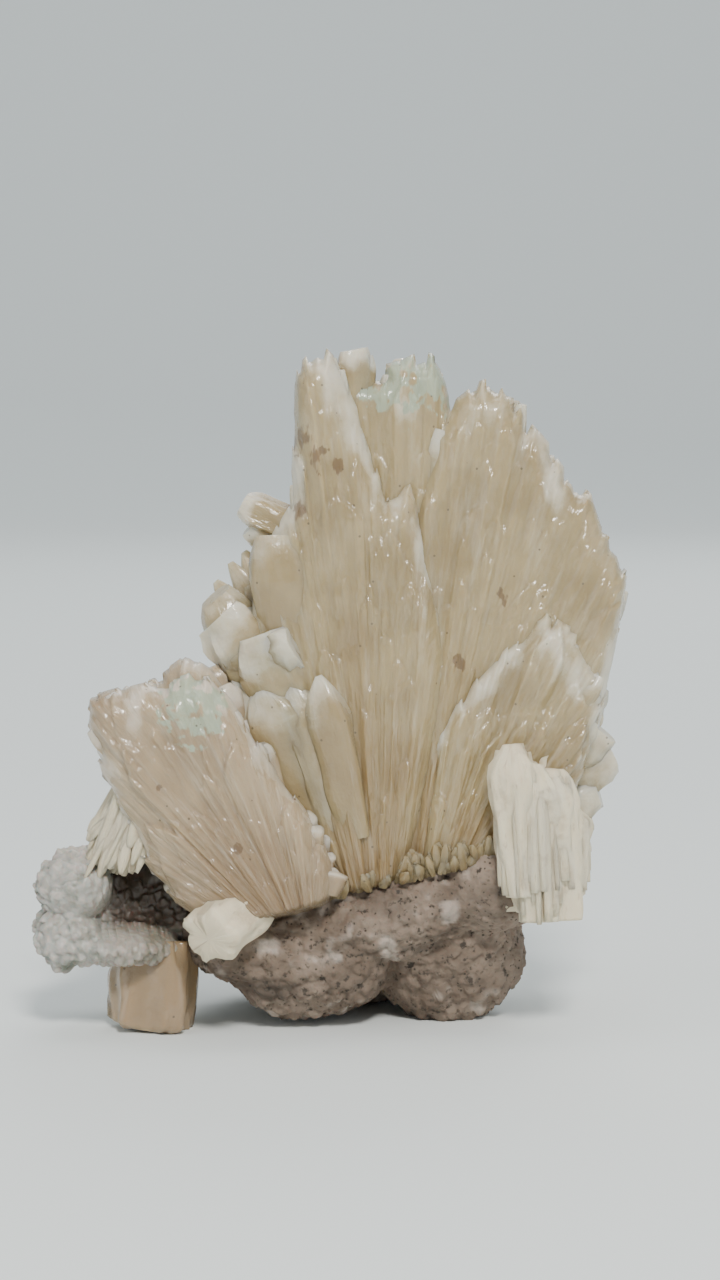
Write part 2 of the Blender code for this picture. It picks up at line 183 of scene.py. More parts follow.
@dataclass
class Solid:
    """Closed shells collected into one mesh, with a rib map and a colour per point of growth marks and
    painted shade.

    Its four shares are frost, deep, green crust and rust. Deep is the clear body's warmer colour on the
    sheaves, and painted shade on the host rock's foot and pits, in the crust's hollow and on the hanging
    lower stub.
    """

    name: str
    points: list[Array] = field(default_factory=list)
    faces: list[Array] = field(default_factory=list)
    ribs: list[Array] = field(default_factory=list)
    growth_and_shade: list[Array] = field(default_factory=list)
    count: int = 0

    def add(self, points: Array, faces: Array, ribs: Array, growth_and_shade: Array) -> None:
        """Adds a shell.

        Args:
            points: places in mm, flattened to rows of x, y, z.
            faces: rows of four point numbers.
            ribs: for each point its place across and along the ribs in mm.
            growth_and_shade: for each point its frost, deep, green and rust shares; deep is painted
                shade on some pieces.
        """
        self.points.append(points.reshape(-1, 3))
        self.faces.append(faces.reshape(-1, 4) + self.count)
        self.ribs.append(ribs.reshape(-1, 2))
        self.growth_and_shade.append(growth_and_shade.reshape(-1, 4))
        self.count += self.points[-1].shape[0]

    def finish(self, material: bpy.types.Material, slot: str, nodes: tuple[str, ...],
               crease: float | None = None) -> bpy.types.Object:
        """Makes the object, dresses it and puts it on the body.

        Args:
            material: its finish.
            slot: the record's material slot; not used.
            nodes: the CAD nodes that it stands for.
            crease: edges sharper than this many degrees stay sharp; all are smooth if None.

        Returns:
            The object, at the origin, with its place in its mesh in metres.
        """
        places = (np.concatenate(self.points) - np.array(MIDDLE)) * MM
        places[:, 2] = np.maximum(places[:, 2], 0.0)
        quads = np.concatenate(self.faces)
        mesh = bpy.data.meshes.new(self.name)
        mesh.vertices.add(len(places))
        mesh.vertices.foreach_set("co", places.astype(np.float32).ravel())
        mesh.loops.add(quads.size)
        mesh.loops.foreach_set("vertex_index", quads.astype(np.int32).ravel())
        mesh.polygons.add(len(quads))
        mesh.polygons.foreach_set("loop_start", np.arange(0, quads.size, 4, dtype=np.int32))
        layer = mesh.uv_layers.new(name="ribs")
        across = np.concatenate(self.ribs)[quads.ravel()]
        layer.data.foreach_set("uv", across.astype(np.float32).ravel())
        colour = mesh.attributes.new("growth_and_shade", "FLOAT_COLOR", "POINT")
        shares = np.clip(np.concatenate(self.growth_and_shade), 0.0, 1.0)
        colour.data.foreach_set("color", shares.astype(np.float32).ravel())
        mesh.update(calc_edges=True)
        mesh.validate()
        mesh.shade_smooth()
        if crease is not None:
            mesh.set_sharp_from_angle(angle=math.radians(crease))
        mesh.materials.append(material)
        made = bpy.data.objects.new(self.name, mesh)
        bpy.context.scene.collection.objects.link(made)
        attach(made, BODY)
        if nodes:
            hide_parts(*nodes)
        LOG.info("%s: %d faces", self.name, len(mesh.polygons))
        return made


def sheet_faces(rows: int, columns: int, first: int = 0, turned: bool = False,
                ring: bool = False) -> Array:
    """Quads of a grid of points numbered row by row.

    Args:
        rows: number of rows of points.
        columns: number of points in a row.
        first: number of the first point.
        turned: True gives faces that look the other way.
        ring: True joins the last column to the first.

    Returns:
        Rows of four point numbers, in the order right then up.
    """
    low = np.arange(rows - 1)[:, None] * columns
    across = np.arange(columns if ring else columns - 1)[None, :]
    here = first + low + across
    beside = first + low + (across + 1) % columns
    quads = np.stack([here, beside, beside + columns, here + columns], axis=-1).reshape(-1, 4)
    return quads[:, ::-1] if turned else quads


def slab_faces(rows: int, columns: int) -> Array:
    """Quads of a closed slab: a front grid, a back grid and the strips that join their edges.

    Args:
        rows: rows of points, foot first.
        columns: points in a row, left first.

    Returns:
        Rows of four point numbers; the back grid's points follow the front grid's.
    """
    total = rows * columns
    front = np.arange(total).reshape(rows, columns)
    back = front + total

    def strip(near: Array, far: Array) -> Array:
        """Quads between two lines of points."""
        return np.stack([near[:-1], near[1:], far[1:], far[:-1]], axis=-1)

    return np.concatenate([
        sheet_faces(rows, columns),
        sheet_faces(rows, columns, first=total, turned=True),
        strip(front[-1], back[-1]),
        strip(back[0], front[0]),
        strip(back[:, 0], front[:, 0])[:, ::-1],
        strip(front[:, -1], back[:, -1])[:, ::-1],
    ])


@dataclass(frozen=True)
class Shingle:
    """One size of the small overlapping blades that cover a sheaf's face.

    count is how many there are, width their half width at the tip, height how far they stand
    proud, length how far they fade back towards the foot and low the share of the radius from
    which tips are found, all in mm but count and low.
    """

    count: int
    width: float
    height: float
    length: float
    low: float = 0.15


SHINGLES = (
    Shingle(26, 2.6, 0.60, 26.0, 0.35),
    Shingle(150, 1.2, 0.34, 12.0, 0.15),
    Shingle(900, 0.55, 0.22, 5.0, 0.10),
)


@dataclass
class Sheaf:
    """A group of blades grown together: ribs run straight from one foot to a jagged rim.

    foot and rim are x and z in mm. front and back give y at the foot and at the rim. bulge is how
    far the middle stands nearer to the viewer than the sides, and rounding how far from its edge
    the slab starts to thin. start is the share of a rib that isn't modelled at the foot. stains and
    mossy are the iron-stained and the green spots: x, z and radius.
    """

    name: str
    foot: Point
    rim: tuple[Point, ...]
    front: tuple[float, float]
    back: tuple[float, float]
    seed: int
    columns: int = 260
    rows: int = 130
    bulge: float = 1.2
    rounding: float = 3.2
    start: float = 0.08
    teeth: float = 0.9
    roughness: float = 1.0
    frost: float = 1.0
    edge: float = 0.10
    far_relief: float = 1.0
    sizes: tuple[Shingle, ...] = SHINGLES
    stains: tuple[Place, ...] = ()
    mossy: tuple[Place, ...] = ()

    def rim_line(self) -> Array:
        """The rim as points spread evenly by arc length and angle, with blocky teeth along it.

        A tooth is a flat-topped step along the rib: its height times the share of its half width
        that is left, times four, held between 0 and 1. The tallest tooth counts.

        Returns:
            Rows of x and z, left to right.
        """
        chance = np.random.default_rng(self.seed)
        corners = np.array(self.rim)
        steps = np.linalg.norm(np.diff(corners, axis=0), axis=1)
        rays = corners - np.array(self.foot)
        bearing = np.arctan2(rays[:, 0], rays[:, 1])
        turn = np.abs(np.diff(bearing)) * np.linalg.norm(rays[1:], axis=1)
        travel = np.concatenate([[0.0], np.cumsum(0.45 * steps + 0.55 * turn)])
        along = np.linspace(0.0, travel[-1], self.columns)
        line = np.stack([np.interp(along, travel, corners[:, axis]) for axis in (0, 1)], axis=-1)
        tooth = np.zeros(self.columns)
        for _ in range(int(travel[-1] / 1.1)):
            centre = chance.uniform(0.0, travel[-1])
            half = chance.uniform(0.5, 1.9)
            height = chance.uniform(0.1, 1.0) ** 1.5 * self.teeth * 1.9
            step = np.clip((1.0 - np.abs(along - centre) / half) * 4.0, 0.0, 1.0)
            tooth = np.maximum(tooth, step * height)
        ray = line - np.array(self.foot)
        reach = np.linalg.norm(ray, axis=1, keepdims=True)
        return line + ray / reach * (tooth - 0.5 * self.teeth)[:, None]

    def shingled(self, bearing: Array, radius: Array, seed: int) -> Array:
        """The relief of the overlapping blades: at each point the proudest of each size, summed.

        With d the share of a blade's half width from its midline and s the distance behind its
        pointed tip, a blade stands height * min(s / 0.35, 1) * sqrt(1 - s / length) * the lesser
        of 1 and 2.4 * (1 - d), tilted a little to one side. Its width is an angle, so it narrows
        towards the foot.

        Args:
            bearing: angle of each column from upright, rising.
            radius: distance of each point from the foot.
            seed: picks another set of blades.

        Returns:
            Millimetres that each point stands proud.
        """
        chance = np.random.default_rng(seed)
        total = np.zeros(radius.shape)
        area = float(np.ptp(bearing)) * radius[-1].mean() / 45.0
        for size in self.sizes:
            layer = np.zeros(radius.shape)
            for _ in range(int(size.count * area)):
                middle = chance.uniform(bearing[0], bearing[-1])
                column = int(np.searchsorted(bearing, middle).clip(0, len(bearing) - 1))
                tip = radius[-1, column] * chance.uniform(size.low, 1.0) ** 0.75
                half = size.width * chance.uniform(0.5, 1.5)
                spread = half / max(tip, 6.0)
                first, last = np.searchsorted(bearing, (middle - spread, middle + spread))
                if last - first < 2:
                    continue
                side = (bearing[first:last] - middle) / spread
                point = chance.uniform(0.6, 2.2)
                behind = tip - half * point * np.abs(side) ** 1.3 - radius[:, first:last]
                reach = size.length * chance.uniform(0.5, 1.5)
                rise = np.clip(behind / 0.35, 0.0, 1.0)
                fade = np.sqrt(np.clip(1.0 - behind / reach, 0.0, 1.0))
                flank = np.clip(chance.uniform(1.2, 3.4) * (1.0 - np.abs(side)), 0.0, 1.0)
                tilt = 1.0 + chance.uniform(-0.5, 0.5) * side
                proud = size.height * chance.uniform(0.5, 1.3) * rise * fade * flank * tilt
                part = layer[:, first:last]
                np.maximum(part, proud, out=part)
            total += layer
        return total

    def tone(self, places: Array, share: Array, edge: Array, relief: Array) -> Array:
        """Growth colour: frost towards the rim, along the edge and on proud blades, and deep body.

        Args:
            places: the points in mm.
            share: share of each rib at each point, 1 at the rim.
            edge: distance to the outline in mm.
            relief: how proud each point stands.

        Returns:
            Four shares for each point.
        """
        mottle = clouds(places * np.array((1.0, 1.0, 0.55)), 5.0, self.seed + 40)
        frost = smooth(share + 0.12 * mottle, 0.86, 1.06) * 0.85
        frost = np.maximum(frost, smooth(edge + 0.5 * mottle, 0.9, 0.1) * 0.42)
        frost = frost + 0.14 * smooth(relief, 0.7, 1.6)
        deep = smooth(share + 0.16 * mottle, 0.75, 0.15)
        green = self.spotted(places, self.mossy)
        rust = self.spotted(places, self.stains)
        return np.stack([frost * self.frost, deep, green, rust], axis=-1)

    def spotted(self, places: Array, spots: tuple[Place, ...]) -> Array:
        """Ragged spots: 1 inside, falling to 0 from 0.5 to 1.1 radii, with noise on the distance.

        Args:
            places: the points in mm.
            spots: x, z and radius of each.

        Returns:
            One share for each point.
        """
        share = np.zeros(places.shape[:-1])
        ragged = clouds(places, 1.1, self.seed + 70) * 0.75
        for x, z, radius in spots:
            away = np.hypot(places[..., 0] - x, (places[..., 2] - z) * 0.7) / radius
            share = np.maximum(share, smooth(away + ragged, 1.1, 0.5))
        return share

    def build(self, solid: Solid) -> None:
        """Adds the sheaf to the solid.

        A point is foot + share * (rim - foot) in x and z. Its y runs from the foot's to the rim's
        value, bulges by (1 - side^2), waves slowly across the ribs and stands proud by the
        shingles. Front and back close towards each other near the outline on a quarter circle,
        and both turn in towards the rock's core where they pass below the bed.
        """
        rim = self.rim_line()
        foot = np.array(self.foot)
        share = self.start + (1.0 - self.start) * np.linspace(0.0, 1.0, self.rows) ** 0.9
        flat = foot + share[:, None, None] * (rim - foot)[None]
        ray = flat - foot
        radius = np.linalg.norm(ray, axis=-1)
        bearing = np.maximum.accumulate(np.arctan2(rim[:, 0] - foot[0], rim[:, 1] - foot[1]))
        bearing = bearing + np.arange(self.columns) * 1e-7
        outline = np.concatenate([[foot], rim[::3], rim[-1:], [foot]])
        edge = distance_to_line(flat, outline)
        close = 1.0 - np.clip(edge / self.rounding, 0.0, 1.0)
        thick = self.edge + (1.0 - self.edge) * np.sqrt(np.clip(1.0 - close**2, 0.0, 1.0))
        side = np.linspace(-1.0, 1.0, self.columns)[None, :]
        far = (radius / radius[-1].max()).clip(0.0, 1.0)
        swell = self.bulge * (1.0 - side**2)
        ribbed = np.stack([
            np.broadcast_to(bearing * 38.0, radius.shape), radius * 0.14,
            np.full(radius.shape, self.seed * 3.7),
        ], axis=-1)
        wave = clouds(ribbed, 4.5, self.seed + 3) * 0.75 + clouds(ribbed, 1.4, self.seed + 9) * 0.16
        front = self.front[0] + (self.front[1] - self.front[0]) * far - swell
        back = self.back[0] + (self.back[1] - self.back[0]) * far + swell * 0.5
        relief = self.shingled(bearing, radius, self.seed + 1) * self.roughness
        behind = self.shingled(bearing, radius, self.seed + 2) * self.far_relief
        middle = (front + back) / 2
        near_y = middle + (front - middle - relief - wave) * thick
        far_y = middle + (back - middle + behind + wave * 0.6) * thick
        over_bed = flat[..., 1] - BED_Z - (flat[..., 0] - BED_X) * BED_RISE
        sink = smooth(over_bed, 1.0, -3.5) * 0.85
        near_y = near_y + (ROCK_CORE_Y - near_y) * sink
        far_y = far_y + (ROCK_CORE_Y + 1.0 - far_y) * sink
        ribs = np.stack([np.broadcast_to(bearing * 38.0, radius.shape), radius], axis=-1)
        points = []
        tones = []
        for depth, proud in ((near_y, relief), (far_y, behind)):
            places = np.stack([flat[..., 0], depth, flat[..., 1]], axis=-1)
            points.append(places)
            tones.append(self.tone(places, np.broadcast_to(share[:, None], radius.shape), edge,
                                   proud))
        solid.add(np.stack(points), slab_faces(self.rows, self.columns), np.stack([ribs, ribs]),
                  np.stack(tones))

    def tips(self, number: int, seed: int) -> list[tuple[Place, Place, float]]:
        """Places for separate crystals whose tips make the rim thick and jagged.

        Args:
            number: how many.
            seed: picks another set.

        Returns:
            The foot, the tip and a width for each, in mm.
        """
        chance = np.random.default_rng(seed)
        rim = self.rim_line()
        foot = np.array(self.foot)
        made = []
        for pick in np.sort(chance.uniform(0.02, 0.98, number)):
            end = rim[int(pick * (self.columns - 1))]
            reach = chance.uniform(0.94, 1.0)
            begin = foot + (end - foot) * chance.uniform(0.55, 0.75)
            tip = foot + (end - foot) * reach
            depth = chance.uniform(0.12, 0.88)
            tip_y = self.front[1] + (self.back[1] - self.front[1]) * depth
            foot_y = tip_y + chance.uniform(-0.4, 0.4)
            made.append(((begin[0], foot_y, begin[1]), (tip[0], tip_y, tip[1]),
                         chance.uniform(1.6, 4.2)))
        return made


@dataclass
class Crystals:
    """Separate crystals, each a flattened profile carried from its foot to its tip.

    rings is the number of points round a crystal and rows the number of rings along it. base is
    the width at the foot and crest the width at the tip, as shares, and shoulder the share of the
    length where the end starts to narrow. rough is the depth of the surface's unevenness as a share
    of the radius.
    """

    rings: int = 14
    rows: int = 18
    base: float = 0.6
    crest: float = 0.5
    shoulder: float = 0.80
    rough: float = 0.16
    square: float = 3.2
    frost: float = 0.8
    green: float = 0.0
    rust: float = 0.0
    deep: float = 0.3
    slant: float = 0.25

    def build(self, solid: Solid, feet: Array, tips: Array, widths: Array, thick: Array,
              seed: int) -> None:
        """Adds the crystals to the solid.

        Round a crystal the profile is a superellipse, |x|^p + |y|^p = 1. Along it the radius grows
        as (s / shoulder)^0.7 from base to 1, narrows as ((s - shoulder) / (1 - shoulder))^1.6 to
        crest and closes on the axis. Value noise drawn out along the axis roughens it, and the end
        is cut on a slant.

        Args:
            solid: collects the shells.
            feet: foot of each crystal in mm.
            tips: tip of each crystal in mm.
            widths: its width in mm.
            thick: its thickness in mm.
            seed: picks the noise and the turns.
        """
        chance = np.random.default_rng(seed)
        number = len(feet)
        axis = tips - feet
        length = np.linalg.norm(axis, axis=1, keepdims=True)
        axis = axis / length
        facing = np.broadcast_to(np.array((0.0, -1.0, 0.0)), axis.shape)
        upright = np.abs(axis[:, 1:2]) > 0.8
        facing = np.where(upright, np.array((0.0, 0.0, 1.0)), facing)
        facing = facing - axis * np.sum(facing * axis, axis=1, keepdims=True)
        facing = facing / np.linalg.norm(facing, axis=1, keepdims=True)
        beside = np.cross(axis, facing)
        turn = chance.uniform(-0.35, 0.35, (number, 1))
        beside, facing = (beside * np.cos(turn) + facing * np.sin(turn),
                          facing * np.cos(turn) - beside * np.sin(turn))
        share = np.concatenate([
            np.linspace(0.0, self.shoulder, self.rows - 7),
            self.shoulder + (1.0 - self.shoulder) * np.array((0.35, 0.65, 0.88, 1.0)),
            [1.0, 1.0],
        ])
        grow = self.base + (1.0 - self.base) * (share / self.shoulder).clip(0, 1) ** 0.7
        past = ((share - self.shoulder) / (1.0 - self.shoulder)).clip(0, 1)
        size = grow * (1.0 - (1.0 - self.crest) * past**1.6)
        size[-2] = self.crest * 0.55
        size[-1] = 0.0
        size = np.concatenate([[0.0], size])
        share = np.concatenate([[0.0], share])
        around = np.linspace(0.0, 2 * math.pi, self.rings, endpoint=False)
        around = around + math.pi / self.rings
        power = 2.0 / self.square
        ring_x = np.sign(np.cos(around)) * np.abs(np.cos(around)) ** power
        ring_y = np.sign(np.sin(around)) * np.abs(np.sin(around)) ** power
        local_x = ring_x[None, None, :] * size[None, :, None] * widths[:, None, None] / 2
        local_y = ring_y[None, None, :] * size[None, :, None] * thick[:, None, None] / 2
        cut = chance.uniform(-self.slant, self.slant, (number, 1, 1)) * local_x
        cut = cut + chance.uniform(-self.slant, self.slant, (number, 1, 1)) * local_y
        local_z = share[None, :, None] * length[:, :, None] + cut * past_all(share)[None, :, None]
        sample = np.stack([local_x * 2.2, local_y * 2.2, local_z * 0.35], axis=-1)
        sample = sample + chance.uniform(0.0, 400.0, (number, 1, 1, 3))
        uneven = 1.0 + self.rough * clouds(sample, 2.4, seed, 2)
        local_x = local_x * uneven
        local_y = local_y * uneven
        places = (feet[:, None, None, :] + beside[:, None, None, :] * local_x[..., None]
                  + facing[:, None, None, :] * local_y[..., None]
                  + axis[:, None, None, :] * local_z[..., None])
        rows = len(share)
        ring = sheet_faces(rows, self.rings, ring=True)
        start = np.arange(number)[:, None, None] * rows * self.rings
        faces = ring[None] + start
        ribs = np.stack([
            np.broadcast_to(around[None, None, :] * 1.5, local_z.shape)
            + np.arange(number)[:, None, None] * 7.3, local_z,
        ], axis=-1)
        mottle = clouds(places, 3.0, seed + 5, 2)
        tip_frost = smooth(share[None, :, None] + 0.15 * mottle, 0.55, 1.0) * self.frost
        growth_and_shade = np.stack([
            tip_frost, np.full(tip_frost.shape, self.deep) * (1 - tip_frost),
            self.green * (0.6 + 0.6 * mottle), self.rust * (0.5 + 0.9 * mottle),
        ], axis=-1)
        solid.add(places, faces, ribs, growth_and_shade)

    def scatter(self, solid: Solid, places: list[tuple[Place, Place, float]], flat: float,
                seed: int) -> None:
        """Adds crystals from a list of foot, tip and width; flat is thickness by width."""
        feet = np.array([item[0] for item in places])
        tips = np.array([item[1] for item in places])
        widths = np.array([item[2] for item in places])
        chance = np.random.default_rng(seed)
        thick = widths * flat * chance.uniform(0.8, 1.25, len(places))
        self.build(solid, feet, tips, widths, thick, seed)


def past_all(share: Array) -> Array:
    """How strongly a ring follows the slanted end: the fourth power of its share of the length."""
    return share**4


@dataclass(frozen=True)
class Ball:
    """An ellipsoid: its centre, half sizes and lean about Y in degrees."""

    centre: Place
    halves: Place
    lean: float = 0.0


@dataclass
class Boulder:
    """A rough lump: a ring of rays at each step along a line ends on the farthest of its balls."""

    balls: tuple[Ball, ...]
    start: Place
    end: Place
    seed: int
    rows: int = 150
    columns: int = 220
    softness: float = 0.6

    def reach(self, origin: Array, ray: Array) -> Array:
        """The distance along each ray to the far side of the balls, blended where they meet.

        A ball's distance is the larger root of the quadratic for a ray and an ellipsoid, and the
        blend is the soft maximum: softness * log(sum of exp(distance / softness)).

        Args:
            origin: where the rays start, in mm.
            ray: unit directions.

        Returns:
            One distance for each ray.
        """
        total = np.zeros(ray.shape[:-1])
        for ball in self.balls:
            lean = math.radians(ball.lean)
            turn = np.array(((math.cos(lean), 0.0, -math.sin(lean)), (0.0, 1.0, 0.0),
                             (math.sin(lean), 0.0, math.cos(lean))))
            place = ((origin - np.array(ball.centre)) @ turn.T) / np.array(ball.halves)
            way = (ray @ turn.T) / np.array(ball.halves)
            square = np.sum(way * way, axis=-1)
            half = np.sum(way * place, axis=-1)
            inside = half * half - square * (np.sum(place * place, axis=-1) - 1.0)
            far = (-half + np.sqrt(np.maximum(inside, 0.0))) / square
            far = np.where(inside > 0.0, far, -20.0)
            total += np.exp(np.clip(far, -20.0, 60.0) / self.softness)
        return self.softness * np.log(total + 1.0)

    def skin(self) -> tuple[Array, Array]:
        """The lump before weathering.

        Rows step along the line from start to end, closer together at its ends, where the rays
        swing from sideways to straight ahead, so that the lump closes on a pole at each end.

        Returns:
            The points in mm and the unit directions that they were found along.
        """
        start = np.array(self.start)
        end = np.array(self.end)
        span = end - start
        length = float(np.linalg.norm(span))
        ahead = span / length
        side = np.cross(ahead, np.array((0.0, 1.0, 0.0)))
        side = side / np.linalg.norm(side)
        other = np.cross(ahead, side)
        swing = np.linspace(0.0, math.pi, self.rows)
        lead = -np.cos(swing)
        along = np.clip(0.5 + 0.62 * lead, 0.0, 1.0)
        around = np.linspace(0.0, 2 * math.pi, self.columns, endpoint=False)
        level = (np.cos(around)[None, :, None] * side + np.sin(around)[None, :, None] * other)
        ray = level * np.sin(swing)[:, None, None] ** 0.55 + ahead * (lead**5)[:, None, None]
        ray = ray / np.maximum(np.linalg.norm(ray, axis=-1, keepdims=True), 1e-9)
        origin = start + along[:, None, None] * span
        origin = np.broadcast_to(origin, ray.shape)
        far = self.reach(origin, ray)
        return origin + ray * far[..., None], ray


class Studio:
    """The floor, the lights and the camera."""

    target = Vector((0.00435, -0.0009, 0.0513))
    distance = 0.400
    elevation = 5.0
    lens = 84.0

    def camera(self) -> None:
        """A camera at the photograph's viewing angle, level with the upper half of the fan."""
        data = bpy.data.cameras.new("viewer")
        data.lens = self.lens
        data.sensor_width = 36.0
        data.sensor_fit = "AUTO"
        data.clip_start = 0.01
        made = bpy.data.objects.new("viewer", data)
        bpy.context.scene.collection.objects.link(made)
        rise = math.radians(self.elevation)
        away = Vector((0.0, -math.cos(rise), math.sin(rise))) * self.distance
        made.location = self.target + away
        made.rotation_euler = (-away).to_track_quat("-Z", "Y").to_euler()
        bpy.context.scene.camera = made

    def floor(self) -> None:
        """A pale sweep: a level floor that curves up into a wall behind the specimen.

        The profile is level, then a quarter circle, then upright, carried along X.
        """
        reach, bend, height, half = 1.3, 0.9, 3.2, 4.0
        arc = np.linspace(0.0, math.pi / 2, 24)
        level = np.array([(-3.0, 0.0), (reach - 0.2, 0.0)])
        curve = np.stack([reach + bend * np.sin(arc), bend * (1.0 - np.cos(arc))], axis=-1)
        wall = np.array([(reach + bend, height)])
        line = np.concatenate([level, curve, wall])
        columns = np.linspace(-half, half, 9)
        points = np.stack([
            np.broadcast_to(columns[None, :], (len(line), 9)),
            np.broadcast_to(line[:, 0:1], (len(line), 9)),
            np.broadcast_to(line[:, 1:2], (len(line), 9)),
        ], axis=-1).reshape(-1, 3)
        mesh = bpy.data.meshes.new("studio_floor")
        mesh.from_pydata(points.tolist(), [], sheet_faces(len(line), 9).tolist())
        mesh.shade_smooth()
        made = bpy.data.objects.new("studio_floor", mesh)
        bpy.context.scene.collection.objects.link(made)
        mesh.materials.append(FloorFinish().build())

    def light(self, name: str, azimuth: float, elevation: float, distance: float, size: float,
              power: float, colour: Place) -> None:
        """A square soft light that faces the specimen.

        Args:
            name: its name.
            azimuth: degrees from the viewer's side, positive to the right.
            elevation: degrees above level.
            distance: metres from the specimen.
            size: side in metres.
            power: watts.
            colour: linear red, green and blue.
        """
        data = bpy.data.lights.new(name, "AREA")
        data.size = size
        data.energy = power
        data.color = colour
        made = bpy.data.objects.new(name, data)
        bpy.context.scene.collection.objects.link(made)
        turn, rise = math.radians(azimuth), math.radians(elevation)
        way = Vector((math.sin(turn) * math.cos(rise), -math.cos(turn) * math.cos(rise),
                      math.sin(rise)))
        made.location = self.target + way * distance
        made.rotation_euler = (-way).to_track_quat("-Z", "Y").to_euler()

    def backdrop_light(self) -> None:
        """A wide light above and behind the specimen that looks at the upright part of the sweep."""
        data = bpy.data.lights.new("backdrop", "AREA")
        data.size = 1.6
        data.energy = 22.0
        made = bpy.data.objects.new("backdrop", data)
        bpy.context.scene.collection.objects.link(made)
        made.location = (0.0, 0.5, 2.4)
        made.rotation_euler = Vector((0.0, 1.0, -0.9)).to_track_quat("-Z", "Y").to_euler()

    def world(self) -> None:
        """An even pale surround."""
        world = bpy.data.worlds.new("surround")
        world.use_nodes = True
        shade = world.node_tree.nodes["Background"]
        shade.inputs["Color"].default_value = (0.86, 0.93, 1.0, 1.0)
        shade.inputs["Strength"].default_value = 0.42
        bpy.context.scene.world = world

    def build(self) -> None:
        """Sets up everything round the specimen."""
        self.camera()
        self.floor()
        self.world()
        self.light("key", 8.0, 42.0, 0.9, 0.17, 7.5, (1.0, 0.97, 0.93))
        self.light("left_fill", -62.0, 24.0, 1.2, 0.9, 3.0, (0.95, 0.98, 1.0))
        self.light("right_fill", 70.0, 18.0, 1.2, 0.9, 2.5, (0.97, 0.99, 1.0))
        self.backdrop_light()
        self.light("back_rim", 165.0, 40.0, 1.2, 0.7, 4.0, (1.0, 1.0, 1.0))


